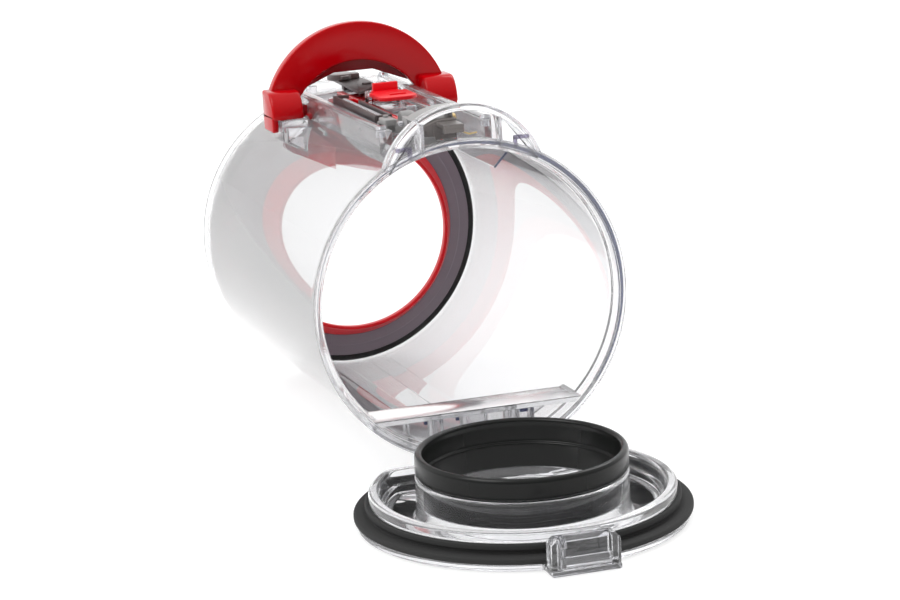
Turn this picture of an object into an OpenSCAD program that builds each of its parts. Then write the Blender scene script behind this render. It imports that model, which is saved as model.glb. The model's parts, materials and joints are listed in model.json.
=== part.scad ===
/* [Bin] */
// Length of the clear bin from the mouth plane to its rear end
bin_len = 186; // [165:1:205]
// Outer radius of the clear bin
bin_r = 60.5; // [56:0.5:68]
// Wall of the clear bin
bin_wall = 2.2; // [1.6:0.1:3]
// How far the mouth flange stands proud of the bin
flange_proud = 2.4; // [2:0.1:4]
// Thickness of the mouth flange along the axis
flange_t = 2.6; // [2:0.1:4]
// How far the stiffening band behind the flange stands proud
band_proud = 1.6; // [1:0.1:2]
// Where the stiffening band ends, behind the mouth plane
band_len = 8; // [6:0.5:12]
// Depth of the counterbore that takes the lid seal
mouth_depth = 5.5; // [5:0.1:8]
// Wall left outside the counterbore
mouth_lip = 0.7; // [0.5:0.1:1]
// Chamfer on the rear end of the bin
rear_chamfer = 1.2; // [0.6:0.1:2]
// Distance from the hinge pin up to the flat floor over the hinge
floor_rise = 14.3; // [13:0.1:15]
// Thickness of that flat floor
chord_t = 2.2; // [1.6:0.1:2.6]
// Depth of the hinge bay behind the mouth plane
bay_depth = 20; // [17:1:30]

/* [Hinge] */
// Distance from the bin's outside in to the hinge pin
hinge_inset = 3.5; // [3:0.1:4.5]
// Distance from the mouth plane back to the hinge pin
hinge_back = 8.2; // [8:0.1:10]
// Radius of the hinge pin
hinge_pin_r = 1.5; // [1.2:0.1:1.8]
// Radial clearance of the hinge pin in the lid arms
hinge_fit = 0.05; // [0.02:0.01:0.09]
// Radius of the lid's hinge knuckles
knuckle_r = 3.4; // [3:0.1:3.6]
// Half width of the middle lug
lug_mid = 4.7; // [4:0.1:5.5]
// Width of each lid arm
arm_w = 8; // [6:0.5:9]
// Gap beside each lid arm
arm_gap = 0.3; // [0.2:0.05:0.5]
// Width of each outer lug
lug_w = 4.4; // [3:0.1:5]

/* [Lid] */
// Distance from the lid's outer face to the mouth plane when shut
lid_seat = 5.5; // [5:0.1:7]
// How far the lid plate is set in from the mouth flange
plate_inset = 0.4; // [0:0.1:1]
// Thickness of the lid plate
plate_t = 2.4; // [2:0.1:3]
// How far the black seal's lip stands proud of the mouth flange
lip_proud = 0.9; // [0.4:0.1:1.2]
// Clearance of the seal's upper band in the mouth
band_fit = 0.35; // [0.3:0.05:0.5]
// Height of the seal's upper band above the lip
band_h = 4; // [3:0.1:4.5]
// Thickness of the seal's upper band
band_t = 1.6; // [1:0.1:2]
// Width of the raised rim of the tray
rim_w = 4.6; // [3:0.1:6]
// Height of the raised rim above the lid's outer face
rim_h = 13; // [11:0.5:13.5]
// Height of the inner ridge of the tray
ridge_h = 6.5; // [4:0.5:9]
// Size of the cut corners of the D-shaped tray
tray_corner = 10; // [8:0.5:14]

/* [Lid centre] */
// Outer radius of the clear centre ring
core_r = 40.2; // [38:0.1:42]
// Wall of the clear centre ring
core_wall = 1.5; // [1.2:0.1:2]
// Height of the clear centre ring
core_h = 18.2; // [15:0.1:20]
// Thickness of the black gasket ring
gasket_t = 2.3; // [1.8:0.1:3]
// How much wider the clear ring's own bore is
core_step = 0.6; // [0.3:0.1:1]
// How far the rolled top of the gasket ring stands over the clear ring's wall
gasket_roll = 0.8; // [0.3:0.1:1.3]
// Height of the top of the gasket ring above the lid's outer face
gasket_h = 27.2; // [22:0.1:28]
// Height of the ledge that the gasket ring stands on
gasket_seat = 8; // [6:0.5:10]
// Height of the throat inside the gasket ring
throat_h = 10; // [6:0.5:12]

/* [Lid clip] */
// Width of the clip that latches the lid
clip_w = 26.4; // [22:0.2:28]
// Gap between the seal's lip and the clip
clip_gap = 0.4; // [0.3:0.1:1]
// Depth of the clip
clip_d = 6.1; // [5:0.1:6.5]
// Height of the clip above the lid's outer face
clip_h = 14; // [12:0.5:14.5]
// Thickness of the clip's end cheeks
cheek_t = 3; // [2:0.1:4]
// How far the foot of the clip stands proud of the clip
foot_proud = 0.8; // [0.4:0.1:1.5]

/* [Rear collar] */
// Radius of the red collar's bore
collar_r = 40.1; // [36:0.1:44]
// Length of the round land in the red collar's bore
collar_land = 3; // [2:0.1:5]
// Distance from the bin's rear end to the front edge of the red collar
collar_set = 23.6; // [21:0.1:30]
// Outer radius of the red collar's cone
cone_r = 45.5; // [42:0.1:48]
// Length of the red collar's cone
cone_len = 8; // [5:0.5:10]
// Width of the black seal outside the grey wiper plate
wiper_seal_w = 2.7; // [2:0.1:4]
// How far the grey wiper plate slopes back
wiper_len = 4.3; // [3:0.1:6]
// Thickness of the collar's walls
collar_t = 1.8; // [1.4:0.1:2.4]

/* [Latch hood] */
// Outer radius of the arched hood over the latch
hood_r = 33.2; // [31:0.1:35]
// Depth of the hood's arc centre under the bin's outside
hood_sink = 17.1; // [16:0.1:18]
// Thickness of the hood
hood_t = 2.8; // [2:0.1:3]
// Depth of the hood behind the mouth plane
hood_len = 8; // [6:0.5:12]

/* [Latch] */
// Distance from the mouth plane back to the latch pin
latch_y = 27; // [26:0.5:29]
// Height of the latch pin above the bin's outside
latch_rise = 6.5; // [6:0.1:7]
// Radius of the latch pin
latch_pin_r = 1; // [0.8:0.1:1.2]
// Radial clearance of the latch lever on its pin
latch_fit = 0.04; // [0.02:0.01:0.08]
// Half width of the latch lever
latch_half = 7.3; // [6:0.1:8]
// How far the latch lever's middle stands left of the bin's middle
latch_left = 5.7; // [5:0.1:6.5]
// Half width of the slot in the clip for the latch's barb
clip_slot = 7.2; // [6:0.1:8]
// How far the latch lever lifts, in degrees
latch_lift = 7; // [6:0.5:8]

/* [Runner] */
// Half width of the runner over its outer rails
runner_half = 24; // [22:0.5:25]
// Width of each outer rail
rail_w = 5.5; // [4:0.5:6]
// Height of the rails above the bin's outside
rail_rise = 3.6; // [3:0.1:4]
// Front end of the rails behind the mouth plane
rail_front = 31; // [31:0.5:34]
// Distance from the bin's rear end to the rear end of the rails
rail_rear = 6; // [4:0.5:10]

/* [Release lever] */
// Distance from the bin's rear end to the lever's front face
lever_set = 43.6; // [40:0.1:48]
// Thickness of the lever's arch
lever_t = 5; // [4:0.5:6]
// Outer radius of the lever's arch
arch_r = 39.9; // [38:0.1:42]
// Depth of the outer arc's centre under the bin's outside
arch_sink = 7.8; // [7:0.1:9]
// Inner radius of the lever's arch
arch_in_r = 30; // [28:0.1:31]
// Depth of the inner arc's centre under the bin's outside
arch_in_sink = 13.9; // [13:0.1:15]
// Height of the top of the lever's lining opening above the bin's outside
lining_rise = 11.1; // [10.7:0.1:12]
// Travel of the release lever towards the mouth
lever_travel = 10; // [6:0.5:10]
// Half width of the lever over its thumb grips
ear_half = 40; // [38:0.5:42]
// Width of each thumb grip
ear_w = 13.4; // [11:0.1:14]
// Height of the top of the thumb grips above the bin's outside
ear_rise = 7.1; // [6:0.1:8]
// Depth of the thumb grips along the bin
ear_d = 16; // [13:0.5:17]

/* [Release button] */
// Distance from the lever to the button's pivot
button_set = 38; // [34:0.5:42]
// Height of the button's pivot above the bin's outside
button_rise = 6.1; // [5.8:0.1:6.5]
// Length of the button's flat tab
button_len = 24; // [20:0.5:26]
// Half width of the button's flat tab
button_half = 8; // [7:0.5:8.5]
// How far the button presses, in degrees
button_press = 5; // [3:0.5:5]

/* [Clearances] */
// Gap between pieces that move past each other
gap = 0.3; // [0.2:0.05:0.5]

/* [Hidden] */
$fn = 96;
eps = 0.01;
far = 200;

bin_ir = bin_r - bin_wall;
flange_r = bin_r + flange_proud;
band_r = bin_r + band_proud;
mouth_r = bin_r - mouth_lip;
mouth_edge = 0.5;
flange_edge = 0.7;
// How deep the parts that stand in the round wall are rooted in it
root = 0.35;
rear_step = 2.2;

hinge_drop = bin_r - hinge_inset;
chord_drop = hinge_drop - floor_rise;
bay_front = 0.8;
lug_depth = 4;

collar_front = bin_len - collar_set;
cone_start = collar_front + collar_land;
cone_end = cone_start + cone_len;
wiper_end = cone_end + wiper_len;
wiper_r = bin_ir - wiper_seal_w;
seal_back = wiper_end + collar_t + 0.1;
lip_slope = 1.1;

plate_r = flange_r - plate_inset;
lip_r = flange_r + lip_proud;
clip_in = lip_r + clip_gap;

// The lid lies open on the table and the bin leans back on its rear edge
hinge_up = hinge_back + lid_seat;
lean_run = bin_len - rear_chamfer - hinge_back;
lean_drop = bin_r - hinge_drop;
tilt = asin(hinge_up / sqrt(pow(lean_run, 2) + pow(lean_drop, 2))) - atan2(lean_drop, lean_run);
foot_out = clip_in + clip_d + foot_proud;
reach_front = hinge_drop + foot_out;
reach_rear = (bin_len - hinge_back) * cos(tilt) + (bin_r - rear_chamfer + hinge_drop) * sin(tilt);
hinge_y = (reach_front - reach_rear) / 2;

notch_in = lug_mid;
notch_out = lug_mid + arm_w + 2 * arm_gap;
lug_out = notch_out + lug_w;
notch_top = knuckle_r + gap;
arm_half = knuckle_r - 0.2;

tab_y = rim_h - lid_seat + 2.2;
lip_top = lid_seat - gap;
lip_flat = hinge_drop - 12.5;
upper_r = mouth_r - band_fit;
upper_flat = hinge_drop - floor_rise - 1.5;
upper_top = lip_top + band_h;
rim_r = upper_r - band_t;
rim_flat = upper_flat - 0.8;
plate_flat = hinge_drop - 11;
core_ir = core_r - core_wall;
gasket_bore = core_ir - gasket_t;
gasket_top_r = core_ir + gasket_roll;
ridge_w = 1.6;
ridge_out = rim_r - rim_w - 2.6;
ridge_in = ridge_out - ridge_w;

// Clip and the latch lever's barb, which stands behind the clip's bar when the lid is shut
clip_half = clip_w / 2;
clip_wall = 1.2;
clip_bar_d = 2.1;
clip_bar_h = 3;
clip_low = clip_h - 6.8;
bar_y = clip_h - clip_bar_h - lid_seat;
barb_y1 = bar_y - 2 * gap;
barb_y0 = barb_y1 - 2.7;
arm_z0 = clip_in + clip_bar_d + 2 * gap;
arm_z1 = arm_z0 + 1.6;
barb_z0 = clip_in + 1;

hood_z = bin_r - hood_sink;
hood_rim = 3.2;
hood_step = 0.8;

latch_z = bin_r + latch_rise;
latch_arm_r = 2.2;
latch_block_y0 = clip_h - lid_seat + 3.5;
latch_block_y1 = latch_y - 4;
latch_low = bin_r + 1.1;
latch_top = latch_z + 1.6;
tail_low = bin_r + 0.9;
latch_x0 = -latch_left - latch_half;
latch_x1 = latch_half - latch_left;
barb_x0 = 0.8 - clip_slot;
leg_t = 1.7;
leg_out = latch_half + gap + leg_t;
band_in = hood_r - hood_t - gap - 1.6;
pin_half = leg_out + 2;
coil_r = 2.1;
coil_in_r = 1.3;
coil_w = 1.6;
wire_r = 0.4;

// Runner: rails, channel, push rod and slide block
rail_z = bin_r + rail_rise;
rail_in = runner_half - rail_w;
rail_end = bin_len - rail_rear;
rail_low = bin_r - 10.5;
rib_x0 = 9.6;
rib_x1 = 13;
lever_y = bin_len - lever_set;
cross_r = bin_r + 0.5;
cross_t = 2;
cross_set = 13;
cross_y = lever_y - cross_set;
cross_len = 12;
notch_y0 = cross_y - lever_travel - 2 * gap;
notch_y1 = cross_y + cross_len + 2 * gap;
ear_y = lever_y + lever_t - ear_d;
ear_in = ear_half - ear_w;
ear_z = bin_r + ear_rise;
ear_low = bin_r - 9.5;
grip_r = 12.2;
grip_z = bin_r - 3.1;
guide_top = bin_r - 4.2;
guide_in = ear_in - 0.6;
guide_out = ear_half - 3.1;
cross_half = guide_in - 2 * gap;

arch_z = bin_r - arch_sink;
arch_in_z = bin_r - arch_in_sink;
lining_z = bin_r + lining_rise;
lining_t = 4;
lining_half = 8.4;
lining_low = 28.5;

channel_w = 6.7;
channel_wall = 1.2;
channel_end = 2;
rod_w = 2.6;
block_y = latch_y + 3 + lever_travel;
block_len = 13;
block_x0 = gap - rail_in;
channel_x0 = 0.9 - rail_in;
channel_x1 = channel_x0 + channel_w;
rod_x = channel_x1 + 0.5 + rod_w / 2;
block_x1 = rod_x + 3.5;
rod_z0 = bin_r + 2.4;
rod_z1 = bin_r + 4.5;
rod_end = lever_y - 4;
block_low = bin_r - 0.5;
block_top = bin_r + 4.5;
round_r = 4.4;
channel_y0 = block_y + block_len + 3;
channel_y1 = lever_y - 24;
channel_z0 = bin_r + 0.9;
channel_z1 = bin_r + 5.9;
finger_y0 = channel_y1 - 4.4;
finger_y1 = channel_y1 - 1.6;
spring_x = (channel_x0 + channel_x1) / 2;
spring_z = channel_z0 + 2.8;
spring_r = 1.7;
tray_z = bin_r + 4.8;
bracket_z = bin_r + 6.2;
bracket_y = lever_y - 21;
boss_x = -2.6;
boss_y = lever_y + 18;
boss_r = 5.3;
boss_top = bin_r + 8.9;
stud_r = 1.6;

button_y = lever_y - button_set;
button_z = bin_r + button_rise;
// The carrier fills what the push rod leaves free
carrier_half = -rod_x - rod_w / 2 - gap - 0.2;
carrier_wall = 1.6;
carrier_front = button_y - button_len + 1;
carrier_floor = bin_r + 1.5;
carrier_top = button_z - 2.2;
button_pin_r = 1;
button_fit = 0.04;
tab_z = button_z + 1;
tab_t = 1.6;

screw_r = 1;
screw_head = 1.3;
grip_screw_x = 34;
grip_screw_z = bin_r + 1.5;

// ---- placing and shared shapes ----

// Bin coordinates: y runs back from the mouth plane, z up from the bin axis
module on_bin() {
    translate([0, hinge_y, hinge_up]) rotate([-tilt, 0, 0])
        translate([0, -hinge_back, hinge_drop]) children();
}

// Lid coordinates: origin at the lid centre on its outer face, y towards the hinge, z up
module on_lid() {
    translate([0, hinge_y - hinge_drop, 0]) children();
}

// A ring whose profile is [radius, distance back from the mouth]
module turned(profile) {
    rotate([-90, 0, 0]) rotate_extrude() polygon(profile);
}

// A rod along y between two distances from the mouth
module rod_y(r, y0, y1, x = 0, z = 0) {
    translate([x, y0, z]) rotate([-90, 0, 0]) cylinder(r = r, h = y1 - y0);
}

// A rod along x between two places
module rod_x(r, x0, x1, y = 0, z = 0) {
    translate([x0, y, z]) rotate([0, 90, 0]) cylinder(r = r, h = x1 - x0);
}

// A box between two corners
module block(low, high) {
    translate(low) cube(high - low);
}

// The same shape on both sides
module both_sides() {
    children();
    mirror([1, 0, 0]) children();
}

// A circle of radius r cut straight at y = flat, its two corners cut off as a radius of c would be
module d_shape(r, flat, c) {
    cx = sqrt(pow(r - c, 2) - pow(flat - c, 2));
    tx = cx * r / (r - c);
    ty = (flat - c) * r / (r - c);
    intersection() {
        circle(r);
        translate([-r, -r]) square([2 * r, r + ty]);
    }
    polygon([[tx, ty], [cx, flat], [-cx, flat], [-tx, ty]]);
}

// A D-shaped wall between two outlines
module d_wall(r, flat, c, r_in, flat_in, c_in, z0, z1) {
    translate([0, 0, z0]) linear_extrude(z1 - z0) difference() {
        d_shape(r, flat, c);
        d_shape(r_in, flat_in, c_in);
    }
}

// The outside of the bin as a solid, for pieces that stand on it
module bin_envelope() {
    turned([[0, -1], [flange_r, -1], [flange_r, flange_t], [band_r, flange_t], [band_r, band_len],
        [bin_r, band_len + 1], [bin_r, bin_len + 1], [0, bin_len + 1]]);
}

// ---- bin ----

module hinge_floor() {
    intersection() {
        rod_y(bin_r - root, bay_front, bay_depth);
        block([-far, 0, -chord_drop - chord_t], [far, far, -chord_drop]);
    }
    // Rear wall of the hinge bay
    intersection() {
        rod_y(bin_r - root, bay_depth - chord_t, bay_depth);
        block([-far, 0, -far], [far, far, -chord_drop - chord_t + eps]);
    }
}

module hinge_lugs() {
    intersection() {
        rod_y(bin_r - root, hinge_back - lug_depth, hinge_back + lug_depth);
        union() {
            block([-lug_mid, 0, -far], [lug_mid, far, -chord_drop - 1]);
            both_sides() block([notch_out, 0, -far], [lug_out, far, -chord_drop - 1]);
        }
    }
}

module bin_tube() {
    color([0.93, 0.94, 0.96, 0.4]) on_bin() difference() {
        union() {
            turned([[mouth_r, mouth_edge], [mouth_r + mouth_edge, 0], [flange_r - flange_edge, 0],
                [flange_r, flange_edge],
                [flange_r, flange_t], [band_r, flange_t], [band_r, band_len], [bin_r, band_len + 1],
                [bin_r, bin_len - rear_chamfer], [bin_r - rear_chamfer, bin_len],
                [bin_ir - rear_step, bin_len],
                [bin_ir - rear_step, seal_back], [bin_ir, seal_back], [bin_ir, mouth_depth],
                [mouth_r, mouth_depth]]);
            hinge_floor();
            hinge_lugs();
        }
        both_sides()
            block([notch_in, -1, -far], [notch_out, hinge_back + lug_depth, -hinge_drop + notch_top]);
        rod_x(hinge_pin_r, -lug_out - 1, lug_out + 1, hinge_back, -hinge_drop);
    }
}

module latch_hood() {
    inner = hood_r - hood_t;
    color([0.93, 0.94, 0.96, 0.4]) on_bin() difference() {
        union() {
            rod_y(hood_r, 0, hood_rim, 0, hood_z);
            rod_y(hood_r - hood_step, hood_rim, hood_len, 0, hood_z);
        }
        rod_y(inner, -1, hood_len + 1, 0, hood_z);
        bin_envelope();
        block([-far, -1, -far], [far, far, hood_z]);
    }
}

module runner_rails() {
    color([0.9, 0.91, 0.94, 0.5]) on_bin() difference() {
        union() {
            both_sides() block([rail_in, rail_front, rail_low], [runner_half, rail_end, rail_z]);
            block([rib_x0, block_y + block_len + 1, rail_low], [rib_x1, rail_end, rail_z]);
            for (y = [channel_y0 + 4, channel_y1 - 8]) {
                block([-runner_half, y, rail_low], [rib_x1, y + 4, channel_z0]);
            }
            block([-runner_half, notch_y1 + 3, rail_low], [runner_half, notch_y1 + 9, tray_z - 2]);
            block([-runner_half, rail_end - 6, rail_low], [runner_half, rail_end, rail_z]);
        }
        bin_envelope();
        // Room for the lever's crosspiece to slide under the rails
        rod_y(cross_r + cross_t + gap, notch_y0, notch_y1);
        for (at = screw_places()) translate([at[0], at[1], rail_low]) cylinder(r = screw_r, h = far);
    }
}

function screw_places() = [for (x = [-1, 1]) for (y = [rail_front + 6, rail_end - 3])
    [x * (rail_in + runner_half) / 2, y]];

module runner_screws() {
    slot_half = 0.25;
    slot_z = rail_z + 0.7;
    color("silver") on_bin() for (at = screw_places()) translate([at[0], at[1], 0]) difference() {
        union() {
            translate([0, 0, bin_r + 0.5]) cylinder(r = screw_r, h = rail_z - bin_r - 0.5);
            translate([0, 0, rail_z]) cylinder(r1 = 2.3, r2 = 1.8, h = screw_head);
        }
        for (turn = [0, 90]) rotate(turn) block([-1.3, -slot_half, slot_z], [1.3, slot_half, slot_z + 2]);
    }
}

module button_carrier() {
    x1 = carrier_half;
    x0 = x1 - carrier_wall;
    color([0.9, 0.91, 0.94, 0.5]) on_bin() difference() {
        union() {
            block([-x1, carrier_front, rail_low], [x1, button_y + 6, carrier_top]);
            both_sides() {
                rod_x(2.6, x0, x1, button_y, button_z);
                block([x0, button_y - 2.2, carrier_floor], [x1, button_y + 2.2, button_z]);
            }
        }
        bin_envelope();
        // The floor stands clear of the bin between the two side walls
        block([-x0, 0, 0], [x0, far, bin_r + gap]);
        block([-x0, carrier_front + carrier_wall, carrier_floor], [x0, button_y + 4.4, far]);
        rod_x(button_pin_r, -far, far, button_y, button_z);
    }
}

module lever_guides() {
    front = ear_y - lever_travel - 1;
    color([0.93, 0.94, 0.96, 0.4]) on_bin() both_sides() difference() {
        block([guide_in, front, 40], [guide_out, lever_y + lever_t + 2, guide_top]);
        bin_envelope();
        // Sloping front edge
        translate([0, front, guide_top]) rotate([40, 0, 0]) block([0, -20, -20], [far, 0, 20]);
    }
}

module deflector_tab() {
    color([0.9, 0.91, 0.94, 0.6]) on_bin() intersection() {
        translate([0, tab_y, 0]) rotate([90, 0, 0]) linear_extrude(tab_t) {
            polygon([[0.5, bin_r], [0.5, bin_r - 3], [14.6, bin_r - 11.3], [20.4, bin_r - 5.3],
                [19, bin_r - 2]]);
        }
        rod_y(bin_ir, 0, bin_len);
    }
}

module fill_mark() {
    // Printed ticks on the lower wall: arcs that follow the wall
    ink = 0.15;
    color([0.3, 0.05, 0.08]) on_bin() for (tick = [[60, 9], [63.4, 13], [66.8, 9]]) {
        translate([0, tick[0], 0]) rotate([-90, 0, 0]) rotate([0, 0, 94]) {
            rotate_extrude(angle = tick[1]) translate([bin_ir - ink, 0]) square([ink, 0.9]);
        }
    }
}

// ---- rear collar ----

module rear_collar() {
    color([0.8, 0.05, 0.06]) on_bin() turned([
        [collar_r, collar_front], [collar_r + 1.2, collar_front - 0.5],
        [collar_r + collar_t, cone_start - 1.6], [cone_r, cone_end - 1.2], [cone_r, cone_end + collar_t],
        [cone_r - 1.6, cone_end + collar_t], [collar_r, cone_start]]);
}

module wiper_plate() {
    color([0.36, 0.33, 0.36]) on_bin() turned([[cone_r, cone_end - lip_slope], [wiper_r, wiper_end],
        [wiper_r, wiper_end + collar_t], [cone_r, cone_end + collar_t]]);
}

module wiper_seal() {
    color([0.05, 0.05, 0.05]) on_bin() turned([[wiper_r, wiper_end], [bin_ir - 0.8, wiper_end + 1],
        [bin_ir, wiper_end + 1.5], [bin_ir, seal_back], [wiper_r, seal_back]]);
}

// ---- runner ----

module runner_channel() {
    inner_x = channel_x1 - channel_wall;
    color([0.2, 0.16, 0.15]) on_bin() difference() {
        block([channel_x0, channel_y0, channel_z0], [channel_x1, channel_y1, channel_z1]);
        block([channel_x0 + channel_wall, channel_y0 + channel_end, channel_z0 + 1],
            [inner_x, channel_y1 - channel_wall, far]);
        // Slot for the rod's finger
        block([inner_x - 1, finger_y0 - lever_travel - 2 * gap, rod_z0 - gap],
            [far, channel_y1 - channel_wall, far]);
    }
}

module rear_bracket() {
    color([0.24, 0.22, 0.22]) on_bin() difference() {
        translate([0, 0, tray_z]) linear_extrude(bracket_z - tray_z) {
            polygon([[-5.6, bracket_y], [-4, boss_y + 8], [6, boss_y + 8], [7, boss_y - 11],
                [6.5, bracket_y + 13]]);
        }
        translate([boss_x, boss_y, 0]) cylinder(r = stud_r, h = far);
    }
    color([0.24, 0.22, 0.22]) on_bin() block([-4, notch_y1 + 4, tray_z - 2], [6, notch_y1 + 8, tray_z]);
}

module rear_boss() {
    color([0.45, 0.44, 0.45]) on_bin() difference() {
        union() {
            translate([boss_x, boss_y, bracket_z]) cylinder(r = boss_r, h = boss_top - bracket_z);
            translate([boss_x, boss_y, tray_z - 1.6]) cylinder(r = stud_r, h = 4);
            block([boss_x + 3, boss_y - 3, bracket_z], [boss_x + 8, boss_y + 3, boss_top - 0.4]);
        }
        block([boss_x - 1, boss_y - 7, bracket_z + 0.7], [boss_x + 2.4, boss_y - 2, boss_top - 0.6]);
    }
}

module latch_bracket() {
    x0 = -latch_left - leg_out;
    x1 = leg_out - latch_left;
    color([0.45, 0.42, 0.42]) on_bin() difference() {
        union() {
            intersection() {
                difference() {
                    rod_y(hood_r - hood_t - gap, latch_block_y1 - 9, latch_y - latch_arm_r - gap,
                        0, hood_z);
                    rod_y(band_in, 0, far, 0, hood_z);
                }
                block([x0, 0, hood_z], [x1, far, far]);
            }
            // Legs that stand on the bin and carry the band's rear
            for (x = [x0, x1 - leg_t]) difference() {
                intersection() {
                    block([x, latch_y - 4.5, rail_low], [x + leg_t, latch_y + 2, far]);
                    rod_y(hood_r - hood_t - gap, 0, far, 0, hood_z);
                }
                bin_envelope();
            }
        }
        rod_x(latch_pin_r, -far, far, latch_y, latch_z);
    }
}

module latch_pin() {
    color("silver") on_bin()
        rod_x(latch_pin_r, -latch_left - pin_half, pin_half - latch_left, latch_y, latch_z);
}

module latch_lever() {
    color([0.36, 0.32, 0.33]) on_bin() difference() {
        union() {
            // Block whose top follows the hood's arch, with room to lift
            intersection() {
                block([latch_x0, latch_block_y0, latch_low], [latch_x1, latch_block_y1, latch_top]);
                rod_y(band_in - gap - 2, 0, far, 0, hood_z);
            }
            block([latch_x0, latch_block_y1 - 1, latch_z - 4], [latch_x1, latch_y, latch_z - 1]);
            rod_x(latch_arm_r, latch_x0, latch_x1, latch_y, latch_z);
            // Arm and barb that hold the lid's clip
            block([barb_x0, barb_y0, arm_z0], [latch_x1, latch_block_y0 + 1, arm_z1]);
            block([barb_x0, barb_y0, barb_z0], [latch_x1, barb_y1, arm_z0 + 0.2]);
            // Tail that the slide block pushes
            block([-2.4, latch_y - 1, tail_low], [latch_x1, latch_y + 2, latch_z]);
        }
        rod_x(latch_pin_r + latch_fit, -far, far, latch_y, latch_z);
    }
}

module latch_spring() {
    // A torsion spring round the latch pin: its coils and a straight leg
    coil_x = leg_out + gap - latch_left;
    color([0.75, 0.6, 0.3]) on_bin() {
        translate([coil_x, latch_y, latch_z]) rotate([0, 90, 0]) difference() {
            cylinder(r = coil_r, h = coil_w);
            translate([0, 0, -1]) cylinder(r = coil_in_r, h = 4);
        }
        rod_y(wire_r, latch_block_y0 - 3, latch_y, coil_x + coil_w / 2, latch_z - coil_in_r - wire_r);
    }
}

// ---- hinge and button pins, springs ----

module hinge_pin() {
    color("silver") on_bin() rod_x(hinge_pin_r, -lug_out, lug_out, hinge_back, -hinge_drop);
}

module button_pin() {
    color("silver") on_bin() rod_x(button_pin_r, -carrier_half, carrier_half, button_y, button_z);
}

module lever_spring() {
    // The room of the coil inside the channel
    color([0.6, 0.6, 0.6]) on_bin()
        rod_y(spring_r, channel_y0 + channel_end, finger_y0, spring_x, spring_z);
}

module button_spring() {
    color([0.6, 0.6, 0.6]) on_bin() translate([0, carrier_front + 5, carrier_floor]) {
        cylinder(r = 1.8, h = tab_z - carrier_floor);
    }
}

// ---- release lever ----

module arch_outline(cut) {
    difference() {
        translate([0, arch_z]) circle(arch_r - cut);
        translate([-far, -far]) square([2 * far, far + guide_top + 2]);
    }
}

// The two screws that hold the lining to the thumb grips
module grip_screws(head_r, shank_r) {
    both_sides() {
        rod_y(shank_r, lever_y - 1, lever_y + lever_t + lining_t, grip_screw_x, grip_screw_z);
        rod_y(head_r, lever_y + lever_t + lining_t, lever_y + lever_t + lining_t + screw_head,
            grip_screw_x, grip_screw_z);
    }
}

module release_lever() {
    color([0.8, 0.04, 0.05]) on_bin() difference() {
        union() {
            translate([0, lever_y + lever_t, 0]) rotate([90, 0, 0]) linear_extrude(lever_t) difference() {
                arch_outline(0);
                translate([0, arch_in_z]) circle(arch_in_r);
            }
            both_sides() difference() {
                // Thumb grip: a barrel along x, cut flat behind and below
                intersection() {
                    rod_x(grip_r, ear_in, ear_half, lever_y + 1.1, grip_z);
                    block([ear_in, ear_y, ear_low], [ear_half, lever_y + lever_t, ear_z]);
                }
                // Room over the guide
                block([0, 0, 0], [guide_out + gap, far, guide_top + gap]);
                // The arch's opening runs through the grip
                rod_y(arch_in_r - 3, 0, far, 0, arch_in_z);
            }
        }
        grip_screws(screw_r, screw_r);
    }
}

module lining_opening() {
    // Flat top with two sloping sides
    low = bin_r + 3;
    polygon([[-lining_half, lining_z], [lining_half, lining_z], [lining_low, low], [lining_low, 0],
        [-lining_low, 0], [-lining_low, low]]);
}

module lever_lining() {
    color([0.55, 0.03, 0.05]) on_bin() difference() {
        translate([0, lever_y + lever_t + lining_t, 0]) rotate([90, 0, 0]) linear_extrude(lining_t) {
            difference() {
                arch_outline(1.6);
                lining_opening();
            }
        }
        grip_screws(screw_r, screw_r);
    }
}

module lever_crosspiece() {
    tab_low = guide_top + gap;
    color([0.7, 0.04, 0.05]) on_bin() {
        difference() {
            rod_y(cross_r + cross_t, cross_y, cross_y + cross_len);
            rod_y(cross_r, cross_y - 1, cross_y + cross_len + 1);
            block([-far, 0, -far], [far, far, 20]);
            block([-far, 0, -far], [-cross_half, far, far]);
            block([cross_half, 0, -far], [far, far, far]);
        }
        // Tabs that carry the crosspiece on the thumb grips
        both_sides() difference() {
            block([runner_half + gap, lever_y - 8, tab_low], [ear_in, lever_y - 2, tab_low + 5]);
            rod_y(cross_r, 0, far);
        }
    }
}

module lever_screws() {
    color("silver") on_bin() grip_screws(2, screw_r);
}

module push_rod() {
    x0 = rod_x - rod_w / 2;
    x1 = rod_x + rod_w / 2;
    color([0.72, 0.03, 0.05]) on_bin() {
        block([x0, block_y + 5, rod_z0], [x1, rod_end, rod_z1]);
        // Foot on the crosspiece
        difference() {
            block([x0, cross_y + 2, bin_r - 0.5], [x1, rod_end - 4, rod_z0 + eps]);
            rod_y(cross_r + cross_t, 0, far);
        }
        // Finger that loads the return spring
        block([spring_x - 1.6, finger_y0, rod_z0], [rod_x, finger_y1, rod_z1]);
    }
}

module slide_block() {
    color([0.42, 0.42, 0.42]) on_bin() difference() {
        union() {
            block([block_x0, block_y + 1.6, block_low], [block_x1, block_y + block_len, block_top]);
            rod_x(round_r, block_x1 - 5, block_x1, block_y + 6, block_top - 0.6);
            block([block_x0, block_y + 1.6, block_low],
                [block_x0 + 5, block_y + block_len - 2, block_top + 1.6]);
            // Prong that meets the latch lever's tail
            block([block_x1 - 1, block_y - 1 + gap, block_low], [3, block_y + 7, rod_z0 + 0.5]);
        }
        rod_y(bin_r + gap, 0, far);
        // Seat of the push rod
        block([rod_x - rod_w / 2, block_y + 5, rod_z0], [rod_x + rod_w / 2, far, rod_z1]);
        rod_x(1.5, block_x1 - 2, far, block_y + 6, block_top + 1);
    }
}

// ---- release button ----

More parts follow.
